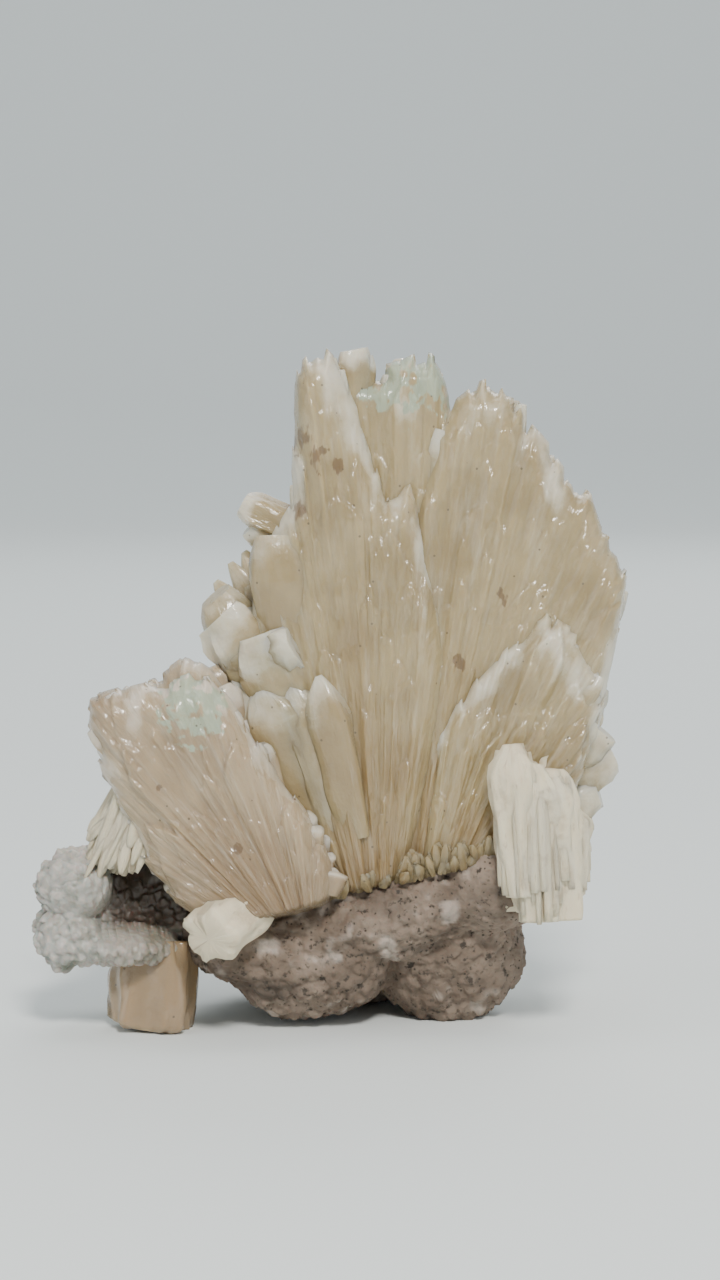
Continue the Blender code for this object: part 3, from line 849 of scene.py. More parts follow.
class Board:
    """The nodes of one material, with short ways to add and link them."""

    def __init__(self, name: str) -> None:
        """Starts a material with a Principled shader and no other nodes."""
        self.material = bpy.data.materials.new(name)
        self.material.use_nodes = True
        self.nodes = self.material.node_tree.nodes
        self.links = self.material.node_tree.links
        self.shader = self.nodes["Principled BSDF"]
        self.coords = self.nodes.new("ShaderNodeTexCoord").outputs["Object"]

    def put(self, socket: bpy.types.NodeSocket, value: object) -> None:
        """Links a socket to the value, or sets it where the value is a constant."""
        if isinstance(value, bpy.types.NodeSocket):
            self.links.new(value, socket)
        elif isinstance(value, tuple) and len(value) == 3 and socket.type == "RGBA":
            socket.default_value = (*value, 1.0)
        else:
            socket.default_value = value

    def fix(self, **values: object) -> None:
        """Sets or links sockets of the Principled shader, named with _ for a space."""
        for name, value in values.items():
            self.put(self.shader.inputs[name.replace("_", " ")], value)

    def attribute(self, name: str) -> dict[str, bpy.types.NodeSocket]:
        """The four shares of the named colour attribute of growth marks and painted shade: frost, deep,
        green and rust.
        """
        node = self.nodes.new("ShaderNodeAttribute")
        node.attribute_name = name
        parts = self.nodes.new("ShaderNodeSeparateColor")
        self.links.new(node.outputs["Color"], parts.inputs["Color"])
        return {"frost": parts.outputs["Red"], "deep": parts.outputs["Green"],
                "green": parts.outputs["Blue"], "rust": node.outputs["Alpha"]}

    def rib_map(self) -> bpy.types.NodeSocket:
        """The piece's own map: millimetres across and along the ribs."""
        node = self.nodes.new("ShaderNodeUVMap")
        node.uv_map = "ribs"
        return node.outputs["UV"]

    def stretch(self, vector: bpy.types.NodeSocket, scale: Place,
                shift: Place = (0.0, 0.0, 0.0)) -> bpy.types.NodeSocket:
        """The vector times scale plus shift."""
        node = self.nodes.new("ShaderNodeMapping")
        self.links.new(vector, node.inputs["Vector"])
        node.inputs["Scale"].default_value = scale
        node.inputs["Location"].default_value = shift
        return node.outputs["Vector"]

    def noise(self, vector: bpy.types.NodeSocket, scale: float, detail: float = 3.0,
              rough: float = 0.5) -> bpy.types.NodeSocket:
        """Noise from 0 to 1."""
        node = self.nodes.new("ShaderNodeTexNoise")
        self.links.new(vector, node.inputs["Vector"])
        node.inputs["Scale"].default_value = scale
        node.inputs["Detail"].default_value = detail
        node.inputs["Roughness"].default_value = rough
        return node.outputs["Fac"]

    def cells(self, vector: bpy.types.NodeSocket, scale: float) -> bpy.types.NodeSocket:
        """Distance to the nearest of scattered points, in cells."""
        node = self.nodes.new("ShaderNodeTexVoronoi")
        self.links.new(vector, node.inputs["Vector"])
        node.inputs["Scale"].default_value = scale
        return node.outputs["Distance"]

    def ramp(self, value: bpy.types.NodeSocket, low: float, high: float) -> bpy.types.NodeSocket:
        """A smooth step from 0 at low to 1 at high; it falls where high is below low."""
        node = self.nodes.new("ShaderNodeMapRange")
        node.interpolation_type = "SMOOTHSTEP"
        self.links.new(value, node.inputs["Value"])
        falls = high < low
        node.inputs["From Min"].default_value = min(low, high)
        node.inputs["From Max"].default_value = max(low, high)
        node.inputs["To Min"].default_value = 1.0 if falls else 0.0
        node.inputs["To Max"].default_value = 0.0 if falls else 1.0
        return node.outputs["Result"]

    def sum(self, kind: str, first: object, second: object) -> bpy.types.NodeSocket:
        """A Math node: kind is ADD, MULTIPLY, SUBTRACT, MAXIMUM and so on."""
        node = self.nodes.new("ShaderNodeMath")
        node.operation = kind
        self.put(node.inputs[0], first)
        self.put(node.inputs[1], second)
        return node.outputs[0]

    def blend(self, share: object, first: object, second: object) -> bpy.types.NodeSocket:
        """Colours mixed by share, from first at 0 to second at 1."""
        node = self.nodes.new("ShaderNodeMix")
        node.data_type = "RGBA"
        self.put(node.inputs["Factor"], share)
        self.put(node.inputs[6], first)
        self.put(node.inputs[7], second)
        return node.outputs[2]

    def bump(self, height: bpy.types.NodeSocket, depth: float, strength: float = 1.0,
             normal: bpy.types.NodeSocket | None = None) -> bpy.types.NodeSocket:
        """A bumped normal; depth is the relief in metres."""
        node = self.nodes.new("ShaderNodeBump")
        node.inputs["Strength"].default_value = strength
        node.inputs["Distance"].default_value = depth
        self.links.new(height, node.inputs["Height"])
        if normal is not None:
            self.links.new(normal, node.inputs["Normal"])
        return node.outputs["Normal"]


@dataclass(frozen=True)
class FloorFinish:
    """Plain pale matt paper."""

    colour: Place = (0.80, 0.84, 0.825)

    def build(self) -> bpy.types.Material:
        """The material."""
        board = Board("pale_paper")
        board.fix(Base_Color=self.colour, Roughness=0.9, Specular_IOR_Level=0.2)
        return board.material


@dataclass(frozen=True)
class CrystalFinish:
    """Pearly translucent crystal: a clouded body, deeper and warmer where it is thick, frosted tips; the
    deep colour is also painted on the lower stub as shade.

    Colours are linear. glow is the subsurface weight, reach its distance in metres, gloss the
    roughness of clean faces and ridge the depth of the fine ribs in metres.
    """

    name: str
    body: Place
    shade: Place
    deep: Place
    frost: Place
    green: Place = (0.40, 0.44, 0.32)
    rust: Place = (0.15, 0.085, 0.04)
    glow: float = 0.40
    reach: float = 0.0035
    gloss: float = 0.15
    ridge: float = 0.00016
    clear: float = 0.0

    def build(self) -> bpy.types.Material:
        """The material."""
        board = Board(self.name)
        growth_and_shade = board.attribute("growth_and_shade")
        ribs = board.rib_map()
        broad = board.noise(board.coords, 95.0, 3.0, 0.55)
        patch = board.noise(board.coords, 330.0, 4.0, 0.6)
        streak = board.noise(board.stretch(ribs, (1.0, 0.10, 1.0)), 0.85, 4.0, 0.6)
        fibre = board.noise(board.stretch(ribs, (1.0, 0.16, 1.0)), 2.6, 3.0, 0.55)
        ripple = board.noise(board.stretch(ribs, (1.0, 0.55, 1.0)), 2.4, 2.0, 0.5)
        colour = board.blend(board.ramp(broad, 0.38, 0.66), self.body, self.shade)
        # The deep share gives the clear body's warmer colour; on the hanging lower stub it is painted
        # shade.
        colour = board.blend(board.sum("MULTIPLY", growth_and_shade["deep"], 0.85), colour, self.deep)
        milky = board.ramp(streak, 0.50, 0.72)
        colour = board.blend(board.sum("MULTIPLY", milky, 0.24), colour, self.frost)
        frosted = board.sum("ADD", growth_and_shade["frost"], board.sum("MULTIPLY", patch, 0.55))
        frosted = board.ramp(frosted, 0.50, 1.20)
        colour = board.blend(board.sum("MULTIPLY", frosted, 0.92), colour, self.frost)
        greened = board.ramp(board.sum("MULTIPLY", growth_and_shade["green"], patch), 0.10, 0.42)
        colour = board.blend(greened, colour, self.green)
        stained = board.ramp(board.sum("MULTIPLY", growth_and_shade["rust"], patch), 0.16, 0.42)
        colour = board.blend(board.sum("MULTIPLY", stained, 0.7), colour, self.rust)
        speck = board.ramp(board.cells(board.coords, 420.0), 0.085, 0.05)
        colour = board.blend(board.sum("MULTIPLY", speck, 0.7), colour, (0.10, 0.075, 0.05))
        rough = board.sum("ADD", board.sum("MULTIPLY", frosted, 0.34), self.gloss)
        rough = board.sum("ADD", rough, board.sum("MULTIPLY", streak, 0.10))
        height = board.sum("ADD", board.sum("MULTIPLY", fibre, 1.0),
                           board.sum("MULTIPLY", ripple, 0.55))
        height = board.sum("ADD", height, board.sum("MULTIPLY", streak, 1.1))
        board.fix(
            Base_Color=colour, Roughness=rough, IOR=1.5, Subsurface_Weight=self.glow,
            Subsurface_Scale=self.reach, Subsurface_Radius=(1.0, 0.72, 0.46),
            Normal=board.bump(height, self.ridge), Coat_Weight=0.50, Coat_Roughness=0.07,
            Transmission_Weight=self.clear,
        )
        return board.material


@dataclass(frozen=True)
class RockFinish:
    """Granular host rock: pale pinkish grains with dark specks, no gloss."""

    name: str = "grey_pink_rock"
    pale: Place = (0.28, 0.215, 0.165)
    mid: Place = (0.155, 0.115, 0.085)
    dark: Place = (0.060, 0.048, 0.038)

    def build(self) -> bpy.types.Material:
        """The material."""
        board = Board(self.name)
        growth_and_shade = board.attribute("growth_and_shade")
        broad = board.noise(board.coords, 110.0, 4.0, 0.6)
        grain = board.noise(board.coords, 900.0, 3.0, 0.6)
        speck = board.cells(board.coords, 850.0)
        colour = board.blend(board.ramp(broad, 0.35, 0.68), self.pale, self.mid)
        colour = board.blend(board.ramp(grain, 0.45, 0.30), colour, self.dark)
        colour = board.blend(board.ramp(speck, 0.20, 0.08), colour, self.dark)
        # Painted shade mixed with random dark patches: the deep share darkens the rock towards its foot
        # and in its sunken pits.
        colour = board.blend(growth_and_shade["deep"], colour, self.dark)
        colour = board.blend(growth_and_shade["frost"], colour, (0.58, 0.50, 0.43))
        colour = board.blend(growth_and_shade["rust"], colour, (0.16, 0.07, 0.03))
        height = board.sum("ADD", grain, board.sum("MULTIPLY", speck, 0.6))
        board.fix(Base_Color=colour, Roughness=0.86, Specular_IOR_Level=0.35,
                  Normal=board.bump(height, 0.00035), Subsurface_Weight=0.08,
                  Subsurface_Scale=0.001)
        return board.material


@dataclass(frozen=True)
class ChalkFinish:
    """Chalky fibrous crystal: nearly matt, with lengthwise fibres, painted shade in the grooves between
    them, and stain colours from the growth shares.
    """

    name: str = "chalky_fibres"
    pale: Place = (0.78, 0.68, 0.49)
    shade: Place = (0.56, 0.45, 0.31)

    def build(self) -> bpy.types.Material:
        """The material."""
        board = Board(self.name)
        growth_and_shade = board.attribute("growth_and_shade")
        ribs = board.rib_map()
        fibre = board.noise(board.stretch(ribs, (1.0, 0.12, 1.0)), 3.2, 4.0, 0.6)
        broad = board.noise(board.coords, 240.0, 4.0, 0.6)
        colour = board.blend(board.ramp(broad, 0.52, 0.74), self.pale, self.shade)
        # Painted shade: darker where the fibre noise is low, in the grooves that the bump sinks.
        colour = board.blend(board.ramp(fibre, 0.42, 0.26), colour, self.shade)
        colour = board.blend(growth_and_shade["deep"], colour, (0.62, 0.46, 0.37))
        colour = board.blend(growth_and_shade["rust"], colour, (0.17, 0.12, 0.09))
        colour = board.blend(growth_and_shade["green"], colour, (0.36, 0.35, 0.26))
        height = board.sum("ADD", fibre, board.sum("MULTIPLY", broad, 0.4))
        board.fix(Base_Color=colour, Roughness=0.62, Subsurface_Weight=0.25,
                  Subsurface_Scale=0.002, Subsurface_Radius=(1.0, 0.7, 0.5),
                  Normal=board.bump(height, 0.00030), Specular_IOR_Level=0.4)
        return board.material


@dataclass(frozen=True)
class DruseFinish:
    """Sugary crust of tiny crystals: milky white that turns grey-green in patches."""

    name: str = "sugary_crust"
    pale: Place = (0.40, 0.385, 0.34)
    green: Place = (0.17, 0.185, 0.145)

    def build(self) -> bpy.types.Material:
        """The material."""
        board = Board(self.name)
        growth_and_shade = board.attribute("growth_and_shade")
        broad = board.noise(board.coords, 190.0, 4.0, 0.6)
        grain = board.cells(board.coords, 1100.0)
        colour = board.blend(board.ramp(broad, 0.44, 0.64), self.pale, self.green)
        colour = board.blend(growth_and_shade["frost"], colour, (0.55, 0.52, 0.47))
        # Painted shade: nearly black where the deep share marks the wall of the hollow.
        colour = board.blend(growth_and_shade["deep"], colour, (0.055, 0.032, 0.02))
        colour = board.blend(growth_and_shade["rust"], colour, (0.30, 0.22, 0.16))
        board.fix(Base_Color=colour, Roughness=0.42, Subsurface_Weight=0.30,
                  Subsurface_Scale=0.0016, Normal=board.bump(grain, 0.00022, 0.9),
                  Coat_Weight=0.2, Coat_Roughness=0.25)
        return board.material


class Finish(Enum):
    """The finishes of the specimen, by the record's material slot."""

    CREAM = "cream_crystal"
    ROSE = "rose_crystal"
    CHALK = "chalky_crystal"
    ROCK = "host_rock"
    DRUSE = "drusy_crust"


class Palette:
    """Makes each finish once."""

    def __init__(self) -> None:
        """Builds the materials."""
        cream = CrystalFinish("cream_crystal", (0.41, 0.325, 0.175), (0.32, 0.245, 0.125),
                              (0.28, 0.185, 0.085), (0.66, 0.61, 0.49))
        rose = CrystalFinish("rose_crystal", (0.43, 0.33, 0.205), (0.34, 0.25, 0.15),
                             (0.30, 0.205, 0.115), (0.64, 0.57, 0.47))
        self.made = {
            Finish.CREAM: cream.build(), Finish.ROSE: rose.build(),
            Finish.CHALK: ChalkFinish().build(), Finish.ROCK: RockFinish().build(),
            Finish.DRUSE: DruseFinish().build(),
        }

    def __getitem__(self, finish: Finish) -> bpy.types.Material:
        """The material of a finish."""
        return self.made[finish]


@dataclass
class MainFan:
    """The tall fan: a left and a right blade group, the columnar plate between and the back."""

    left: Sheaf = field(default_factory=lambda: Sheaf(
        "left", (7.0, 4.0), (
            (-9.5, 40.0), (-10.5, 50.0), (-10.0, 57.0), (-8.5, 63.0), (-6.2, 67.5), (-5.0, 69.5),
            (-4.8, 76.0), (-4.6, 84.0), (-4.2, 87.0), (-3.0, 88.4), (-1.75, 89.4), (-0.2, 88.9),
            (1.2, 87.4), (2.6, 85.0), (3.6, 82.8), (4.2, 79.5), (5.6, 75.2), (7.0, 71.4),
            (7.9, 69.4), (8.9, 69.6), (9.8, 70.9), (10.6, 71.6), (11.2, 69.5), (11.8, 66.3),
            (12.8, 62.5), (13.8, 58.9), (14.9, 54.5), (15.6, 50.6), (15.7, 47.0), (15.2, 43.0),
        ), (-9.2, -4.6), (-3.0, 2.0), 11, columns=320, rows=150,
        stains=((-3.7, 78.4, 1.3), (-1.6, 76.0, 1.2), (1.0, 75.0, 0.8), (-4.0, 69.0, 0.9))))
    back: Sheaf = field(default_factory=lambda: Sheaf(
        "back", (9.5, 10.0), (
            (1.2, 77.0), (2.0, 84.5), (3.2, 86.0), (4.6, 86.2), (6.0, 86.6), (7.6, 86.6),
            (9.2, 87.0), (10.8, 87.8), (12.5, 88.4), (13.6, 88.0), (14.6, 86.6), (15.4, 84.4),
            (16.2, 81.0), (17.0, 76.0),
        ), (-3.0, -0.8), (2.0, 6.4), 12, columns=170, rows=120, teeth=1.3, rounding=2.4,
        start=0.3, mossy=((12.5, 86.5, 3.6), (8.0, 85.5, 2.4), (4.5, 85.0, 1.4))))
    right: Sheaf = field(default_factory=lambda: Sheaf(
        "right", (9.0, 4.0), (
            (9.3, 60.0), (10.4, 67.0), (11.9, 71.5), (13.4, 76.0), (14.8, 80.0), (15.9, 82.2),
            (17.2, 83.2), (18.4, 84.2), (19.9, 84.8), (21.3, 85.3), (22.4, 84.6), (23.2, 83.0),
            (24.4, 82.6), (25.3, 81.5), (26.0, 79.5), (27.6, 78.0), (29.4, 76.0), (30.8, 74.0),
            (31.9, 72.2), (33.4, 70.9), (34.4, 69.8), (35.1, 67.4), (35.7, 65.4), (37.2, 63.7),
            (38.3, 62.6), (38.9, 60.6), (39.0, 57.5), (38.5, 53.0), (37.6, 48.5), (36.7, 44.5),
            (35.8, 40.6), (34.6, 36.0), (32.8, 31.0), (30.0, 26.5),
        ), (-8.2, -2.8), (0.5, 4.6), 13, columns=330, rows=145, bulge=0.4,
        stains=((22.5, 58.0, 0.9), (17.3, 49.0, 0.9), (28.0, 66.0, 0.5))))
    near: Sheaf = field(default_factory=lambda: Sheaf(
        "near", (10.0, 5.0), (
            (14.2, 38.0), (16.6, 42.5), (19.5, 46.0), (22.0, 48.6), (24.5, 51.0), (26.8, 53.2),
            (28.4, 54.6), (29.6, 53.4), (31.0, 52.6), (32.6, 52.0), (34.0, 49.8), (35.0, 47.5),
            (35.4, 44.8), (35.3, 42.0), (34.6, 38.5), (32.8, 33.0), (29.0, 27.0),
        ), (-8.6, -7.2), (-5.0, -3.6), 14, columns=230, rows=100, rounding=1.6, bulge=0.3,
        sizes=(Shingle(26, 2.4, 1.0, 20.0, 0.5), Shingle(150, 1.1, 0.45, 10.0, 0.2),
               Shingle(800, 0.5, 0.2, 4.0, 0.1))))
    rear_high: Sheaf = field(default_factory=lambda: Sheaf(
        "rear_high", (10.0, 3.0), (
            (-13.0, 40.0), (-13.2, 46.0), (-10.5, 53.0), (-8.2, 60.0), (-5.5, 65.0), (-2.0, 71.0),
            (0.5, 75.0), (4.5, 77.0), (8.0, 79.2), (12.0, 79.6), (16.5, 79.0), (20.5, 76.0),
            (24.5, 73.0), (28.0, 68.0), (31.5, 62.0), (33.5, 56.0), (34.5, 49.5), (34.0, 43.0),
            (31.0, 35.0), (27.0, 27.0),
        ), (0.0, 4.0), (7.0, 12.2), 15, columns=260, rows=110, bulge=1.0))
    rear_low: Sheaf = field(default_factory=lambda: Sheaf(
        "rear_low", (9.0, 1.0), (
            (-12.0, 29.0), (-13.0, 36.0), (-9.5, 42.0), (-5.0, 47.3), (0.0, 50.0), (5.0, 52.8),
            (9.0, 53.4), (14.0, 52.2), (18.5, 51.0), (23.0, 46.3), (28.0, 41.5), (30.0, 36.0),
            (29.0, 30.0), (25.0, 22.0),
        ), (4.0, 11.6), (11.4, 19.4), 16, columns=220, rows=95, bulge=0.8))

    def flank(self, solid: Solid) -> None:
        """The blocky, milky and clear crystals of the left side, and the knobs on the outline."""
        pointed = Crystals(rings=16, rows=22, crest=0.15, shoulder=0.72, frost=0.9)
        pointed.scatter(solid, [
            ((3.6, -8.6, 26.0), (-1.5, -9.6, 47.4), 6.2),
            ((1.0, -8.0, 27.0), (-5.2, -8.2, 46.5), 6.6),
            ((-1.5, -7.5, 28.0), (-9.4, -7.6, 46.4), 7.0),
            ((-3.5, -6.0, 29.0), (-12.6, -6.0, 47.0), 7.0),
            ((-3.0, -4.0, 30.0), (-13.6, -3.0, 49.0), 7.5),
        ], 0.6, 101)
        blocky = Crystals(rings=18, rows=22, base=0.75, crest=0.8, shoulder=0.85, square=3.0,
                          rough=0.24, frost=0.9, deep=0.1)
        blocky.scatter(solid, [
            ((-12.5, -4.5, 47.0), (-4.4, -8.4, 51.0), 7.2),
            ((-1.0, -3.0, 38.0), (-14.4, -3.6, 55.0), 8.6),
            ((-2.0, -4.0, 36.0), (-9.0, -6.6, 52.6), 8.0),
        ], 0.8, 102)
        milky = Crystals(rings=24, rows=26, base=0.8, crest=0.62, shoulder=0.62, square=2.3,
                         rough=0.07, frost=0.5, deep=0.15)
        milky.scatter(solid, [
            ((-5.2, -5.0, 51.0), (-7.2, -5.4, 65.4), 8.4),
            ((-11.0, -2.4, 50.0), (-15.2, -2.8, 57.4), 7.4),
        ], 0.85, 103)
        clear = Crystals(rings=12, rows=20, crest=0.2, shoulder=0.75, frost=0.5, deep=0.0)
        clear.scatter(solid, [
            ((-2.0, 1.0, 44.0), (-13.4, 1.6, 61.6), 4.2), ((-4.0, 1.4, 44.0), (-15.4, 2.4, 59.0), 4.2),
            ((-2.0, 2.0, 46.0), (-11.6, 2.6, 63.0), 4.6), ((-1.0, 0.0, 46.0), (-11.0, -0.4, 58.6), 5.6),
        ], 0.45, 104)
        knob = Crystals(rings=20, rows=20, base=0.9, crest=0.75, shoulder=0.7, square=2.4,
                        rough=0.22, frost=1.0, deep=0.0)
        knob.scatter(solid, [
            ((-4.4, -0.4, 66.0), (-11.6, 0.2, 69.4), 4.6), ((-5.6, 0.6, 63.0), (-10.6, 0.8, 66.6), 4.0),
            ((3.2, 0.2, 82.0), (3.1, 0.0, 90.0), 4.6), ((4.4, 0.8, 83.0), (4.4, 0.8, 89.2), 3.2),
        ], 0.95, 105)

    def lobes(self, solid: Solid) -> None:
        """The rounded ends that stand out low on the right edge."""
        rounded = Crystals(rings=18, rows=22, base=0.75, crest=0.62, shoulder=0.8, square=2.6,
                           rough=0.16, frost=0.85, deep=0.2)
        rounded.scatter(solid, [
            ((20.0, -2.0, 27.0), (36.6, -2.2, 39.2), 6.4), ((20.0, -1.0, 25.0), (37.7, -1.0, 35.6), 6.6),
            ((20.0, -1.0, 23.5), (36.0, -1.4, 31.0), 6.2), ((20.0, 0.0, 22.5), (35.0, -0.2, 27.6), 6.0),
            ((20.0, 1.0, 21.5), (34.6, 1.0, 24.4), 6.0), ((22.0, 2.0, 21.0), (34.0, 3.0, 29.4), 7.0),
            ((22.0, 3.0, 22.0), (35.4, 4.0, 36.0), 7.0),
        ], 0.95, 111)

    def druse(self, solid: Solid) -> None:
        """Small pale crystals that stand out of the bed in front, along the feet of the sheaves."""
        chance = np.random.default_rng(91)
        number = 130
        x = chance.uniform(-9.0, 25.0, number)
        bed = BED_Z + (x - BED_X) * BED_RISE
        feet = np.stack([x, chance.uniform(-8.6, -6.8, number), bed - 0.6], axis=-1)
        lean = chance.uniform(-1.0, 1.0, number)
        out = chance.uniform(0.8, 3.0, number)
        tips = feet + np.stack([lean, -out, chance.uniform(1.6, 4.2, number)], axis=-1)
        widths = chance.uniform(0.8, 1.9, number)
        shape = Crystals(rings=7, rows=12, crest=0.3, shoulder=0.6, rough=0.3, frost=0.4, deep=0.5)
        shape.build(solid, feet, tips, widths, widths * 0.9, 92)

    def build(self, palette: Palette) -> None:
        """Makes the pieces of the tall fan."""
        tips = {"left": 22, "back": 16, "right": 46, "near": 14, "rear_high": 40, "rear_low": 34}
        rim = Solid("main_fan_rim")
        shape = Crystals(rings=12, rows=18, base=0.7, crest=0.55, shoulder=0.86, rough=0.22)
        for sheaf in (self.left, self.back, self.right, self.near, self.rear_high, self.rear_low):
            solid = Solid("main_fan_" + sheaf.name)
            sheaf.build(solid)
            solid.finish(palette[Finish.CREAM], Finish.CREAM.value, ("main_fan",))
            shape.scatter(rim, sheaf.tips(tips[sheaf.name], sheaf.seed + 60), 0.75,
                          sheaf.seed + 61)
        rim.finish(palette[Finish.CREAM], Finish.CREAM.value, ("main_fan",), crease=48.0)
        sides = Solid("main_fan_sides")
        self.flank(sides)
        self.lobes(sides)
        self.druse(sides)
        sides.finish(palette[Finish.CREAM], Finish.CREAM.value, ("main_fan",), crease=50.0)


@dataclass
class SmallFan:
    """The smaller fan, low on the left and nearer to the viewer, with its chalky tuft."""

    front: Sheaf = field(default_factory=lambda: Sheaf(
        "front", (-2.0, 10.0), (
            (-18.5, 16.5), (-21.5, 20.0), (-23.5, 22.8), (-25.8, 27.8), (-28.0, 31.7),
            (-29.2, 34.0), (-30.0, 36.9), (-31.3, 40.8), (-30.9, 44.0), (-28.5, 44.7),
            (-25.1, 45.7), (-23.0, 46.2), (-20.6, 46.1), (-18.0, 47.0), (-15.4, 47.0),
            (-13.0, 44.2), (-10.8, 40.8), (-7.6, 35.6), (-4.8, 31.6), (-2.4, 28.4), (-0.8, 25.3),
            (0.4, 22.6), (0.4, 19.0),
        ), (-14.6, -13.0), (-9.0, -6.6), 21, columns=300, rows=120, bulge=1.2, teeth=0.8,
        stains=((-11.5, 25.5, 0.7), (-22.0, 33.5, 0.8)), mossy=((-18.5, 44.6, 3.2), (-15.2, 43.6, 1.8))))
    middle: Sheaf = field(default_factory=lambda: Sheaf(
        "middle", (-2.5, 9.0), (
            (-20.0, 18.0), (-23.5, 24.0), (-27.0, 30.0), (-30.0, 36.0), (-30.0, 41.8),
            (-26.0, 45.0), (-22.0, 46.2), (-18.5, 48.8), (-15.0, 46.6), (-12.5, 43.0),
            (-9.0, 37.5), (-5.0, 31.0),
        ), (-9.0, -9.0), (-3.0, -1.6), 22, columns=200, rows=90))
    back: Sheaf = field(default_factory=lambda: Sheaf(
        "back", (-2.5, 9.0), (
            (-19.0, 21.0), (-23.5, 25.0), (-27.0, 31.0), (-27.2, 36.4), (-24.6, 40.0),
            (-19.5, 43.0), (-15.0, 41.0), (-10.5, 35.5), (-6.0, 28.0),
        ), (-4.5, -3.0), (2.5, 5.4), 23, columns=170, rows=80))
    far: Sheaf = field(default_factory=lambda: Sheaf(
        "far", (-2.5, 9.0), (
            (-17.0, 19.0), (-20.5, 23.0), (-21.8, 29.0), (-18.5, 34.4), (-13.5, 35.4),
            (-9.4, 32.6), (-6.0, 26.0),
        ), (1.0, 4.0), (8.0, 10.0), 24, columns=150, rows=70))

    def tuft(self, solid: Solid) -> None:
        """The chalky tuft: slender fibres that hang from the lower left edge of the fan."""
        chance = np.random.default_rng(31)
        number = 150
        root_x = chance.uniform(-27.5, -21.5, number)
        root_z = 33.0 + (root_x + 24.0) * 0.25 + chance.uniform(-2.5, 1.5, number)
        spread = (root_x + 24.5) / 3.5
        end_x = -27.5 + spread * 4.2 + chance.uniform(-1.4, 1.4, number)
        end_z = 21.5 + np.abs(spread + 0.2) * 1.5 + chance.uniform(-1.5, 4.5, number)
        root_y = chance.uniform(-11.0, -4.0, number)
        end_y = root_y + chance.uniform(-2.0, 1.0, number)
        feet = np.stack([root_x, root_y, root_z], axis=-1)
        tips = np.stack([end_x, end_y, end_z], axis=-1)
        widths = chance.uniform(0.6, 1.9, number)
        shape = Crystals(rings=8, rows=14, base=0.9, crest=0.4, shoulder=0.8, rough=0.25,
                         frost=0.0, deep=0.0)
        shape.build(solid, feet, tips, widths, widths * 0.8, 32)

    def build(self, palette: Palette) -> None:
        """Makes the pieces of the smaller fan."""
        tips = {"front": 46, "middle": 30, "back": 26, "far": 24}
        rim = Solid("left_fan_rim")
        shape = Crystals(rings=12, rows=18, base=0.7, crest=0.55, shoulder=0.86, rough=0.24)
        for sheaf in (self.front, self.middle, self.back, self.far):
            solid = Solid("left_fan_" + sheaf.name)
            sheaf.build(solid)
            solid.finish(palette[Finish.ROSE], Finish.ROSE.value, ("left_fan",))
            shape.scatter(rim, sheaf.tips(tips[sheaf.name], sheaf.seed + 60), 0.8,
                          sheaf.seed + 61)
        rim.finish(palette[Finish.ROSE], Finish.ROSE.value, ("left_fan",), crease=48.0)
        tuft = Solid("chalky_tuft")
        self.tuft(tuft)
        tuft.finish(palette[Finish.CHALK], Finish.CHALK.value, ("left_fan",))


@dataclass
class HostRock:
    """The wedge of granular rock under the sheaves."""

    lump: Boulder = field(default_factory=lambda: Boulder((
        Ball((6.0, 0.5, 14.6), (22.0, 12.4, 7.2), -12), Ball((-2.5, -2.5, 8.5), (11.0, 9.5, 8.4), -4),
        Ball((-11.0, -3.0, 10.5), (9.5, 9.5, 5.6), 6), Ball((16.0, 2.5, 8.6), (11.0, 9.0, 9.6), -8),
        Ball((3.0, 11.5, 9.4), (19.0, 9.8, 10.0), -7), Ball((22.0, -4.0, 19.0), (7.0, 8.0, 6.6), -20),
        Ball((-10.0, 4.0, 13.5), (12.0, 10.0, 8.0), 4),
    ), (-12.0, 1.0, 11.5), (21.0, 1.0, 15.0), 41, rows=210, columns=230))

    def build(self, palette: Palette) -> None:
        """Weathers the lump: broad hollows, granular pits and a flat foot and top."""
        places, ray = self.lump.skin()
        broad = clouds(places, 9.0, 42, 3) * 0.8
        pits, own = grains(places, 1.5, 44)
        fine, _ = grains(places, 0.7, 45)
        crumb = -0.55 * smooth(pits, 0.35, 0.75) - 0.22 * smooth(fine, 0.3, 0.7)
        crumb = crumb + 0.35 * (own - 0.5) + clouds(places, 2.4, 46, 3) * 0.35
        places = places + ray * (broad + crumb)[..., None]
        bed = BED_Z + (places[..., 0] - BED_X) * BED_RISE + 1.6
        places[..., 2] = np.minimum(places[..., 2], bed + 0.5 * clouds(places, 2.0, 48, 3))
        places[..., 2] = np.maximum(places[..., 2], 0.0)
        side = smooth(places[..., 0], -17.0, -9.0)
        mottle = clouds(places, 4.0, 50, 3)
        frost = smooth(mottle + 0.5 * cloud(places, 1.3, 51), 0.35, 0.9) * 0.55
        dark = smooth(clouds(places * np.array((0.6, 1.0, 1.0)), 6.0, 53, 3), 0.25, 0.7) * 0.75
        # Painted shade: the dark patches grow stronger towards the rock's foot, and the sunken pits
        # between the grains are darkened as well.
        low = smooth(places[..., 2], 9.0, 3.5)
        dark = np.clip(dark * (0.35 + 0.65 * low) + 0.2 * smooth(pits, 0.6, 0.9), 0.0, 1.0)
        growth_and_shade = np.stack([frost * (1 - dark), dark, side * 0.0, side * 0.0], axis=-1)
        rows, columns = places.shape[:2]
        solid = Solid("host_rock")
        faces = sheet_faces(rows, columns, ring=True)
        solid.add(places, outward(places, faces), places[..., (0, 2)], growth_and_shade)
        solid.finish(palette[Finish.ROCK], Finish.ROCK.value, ("matrix",))


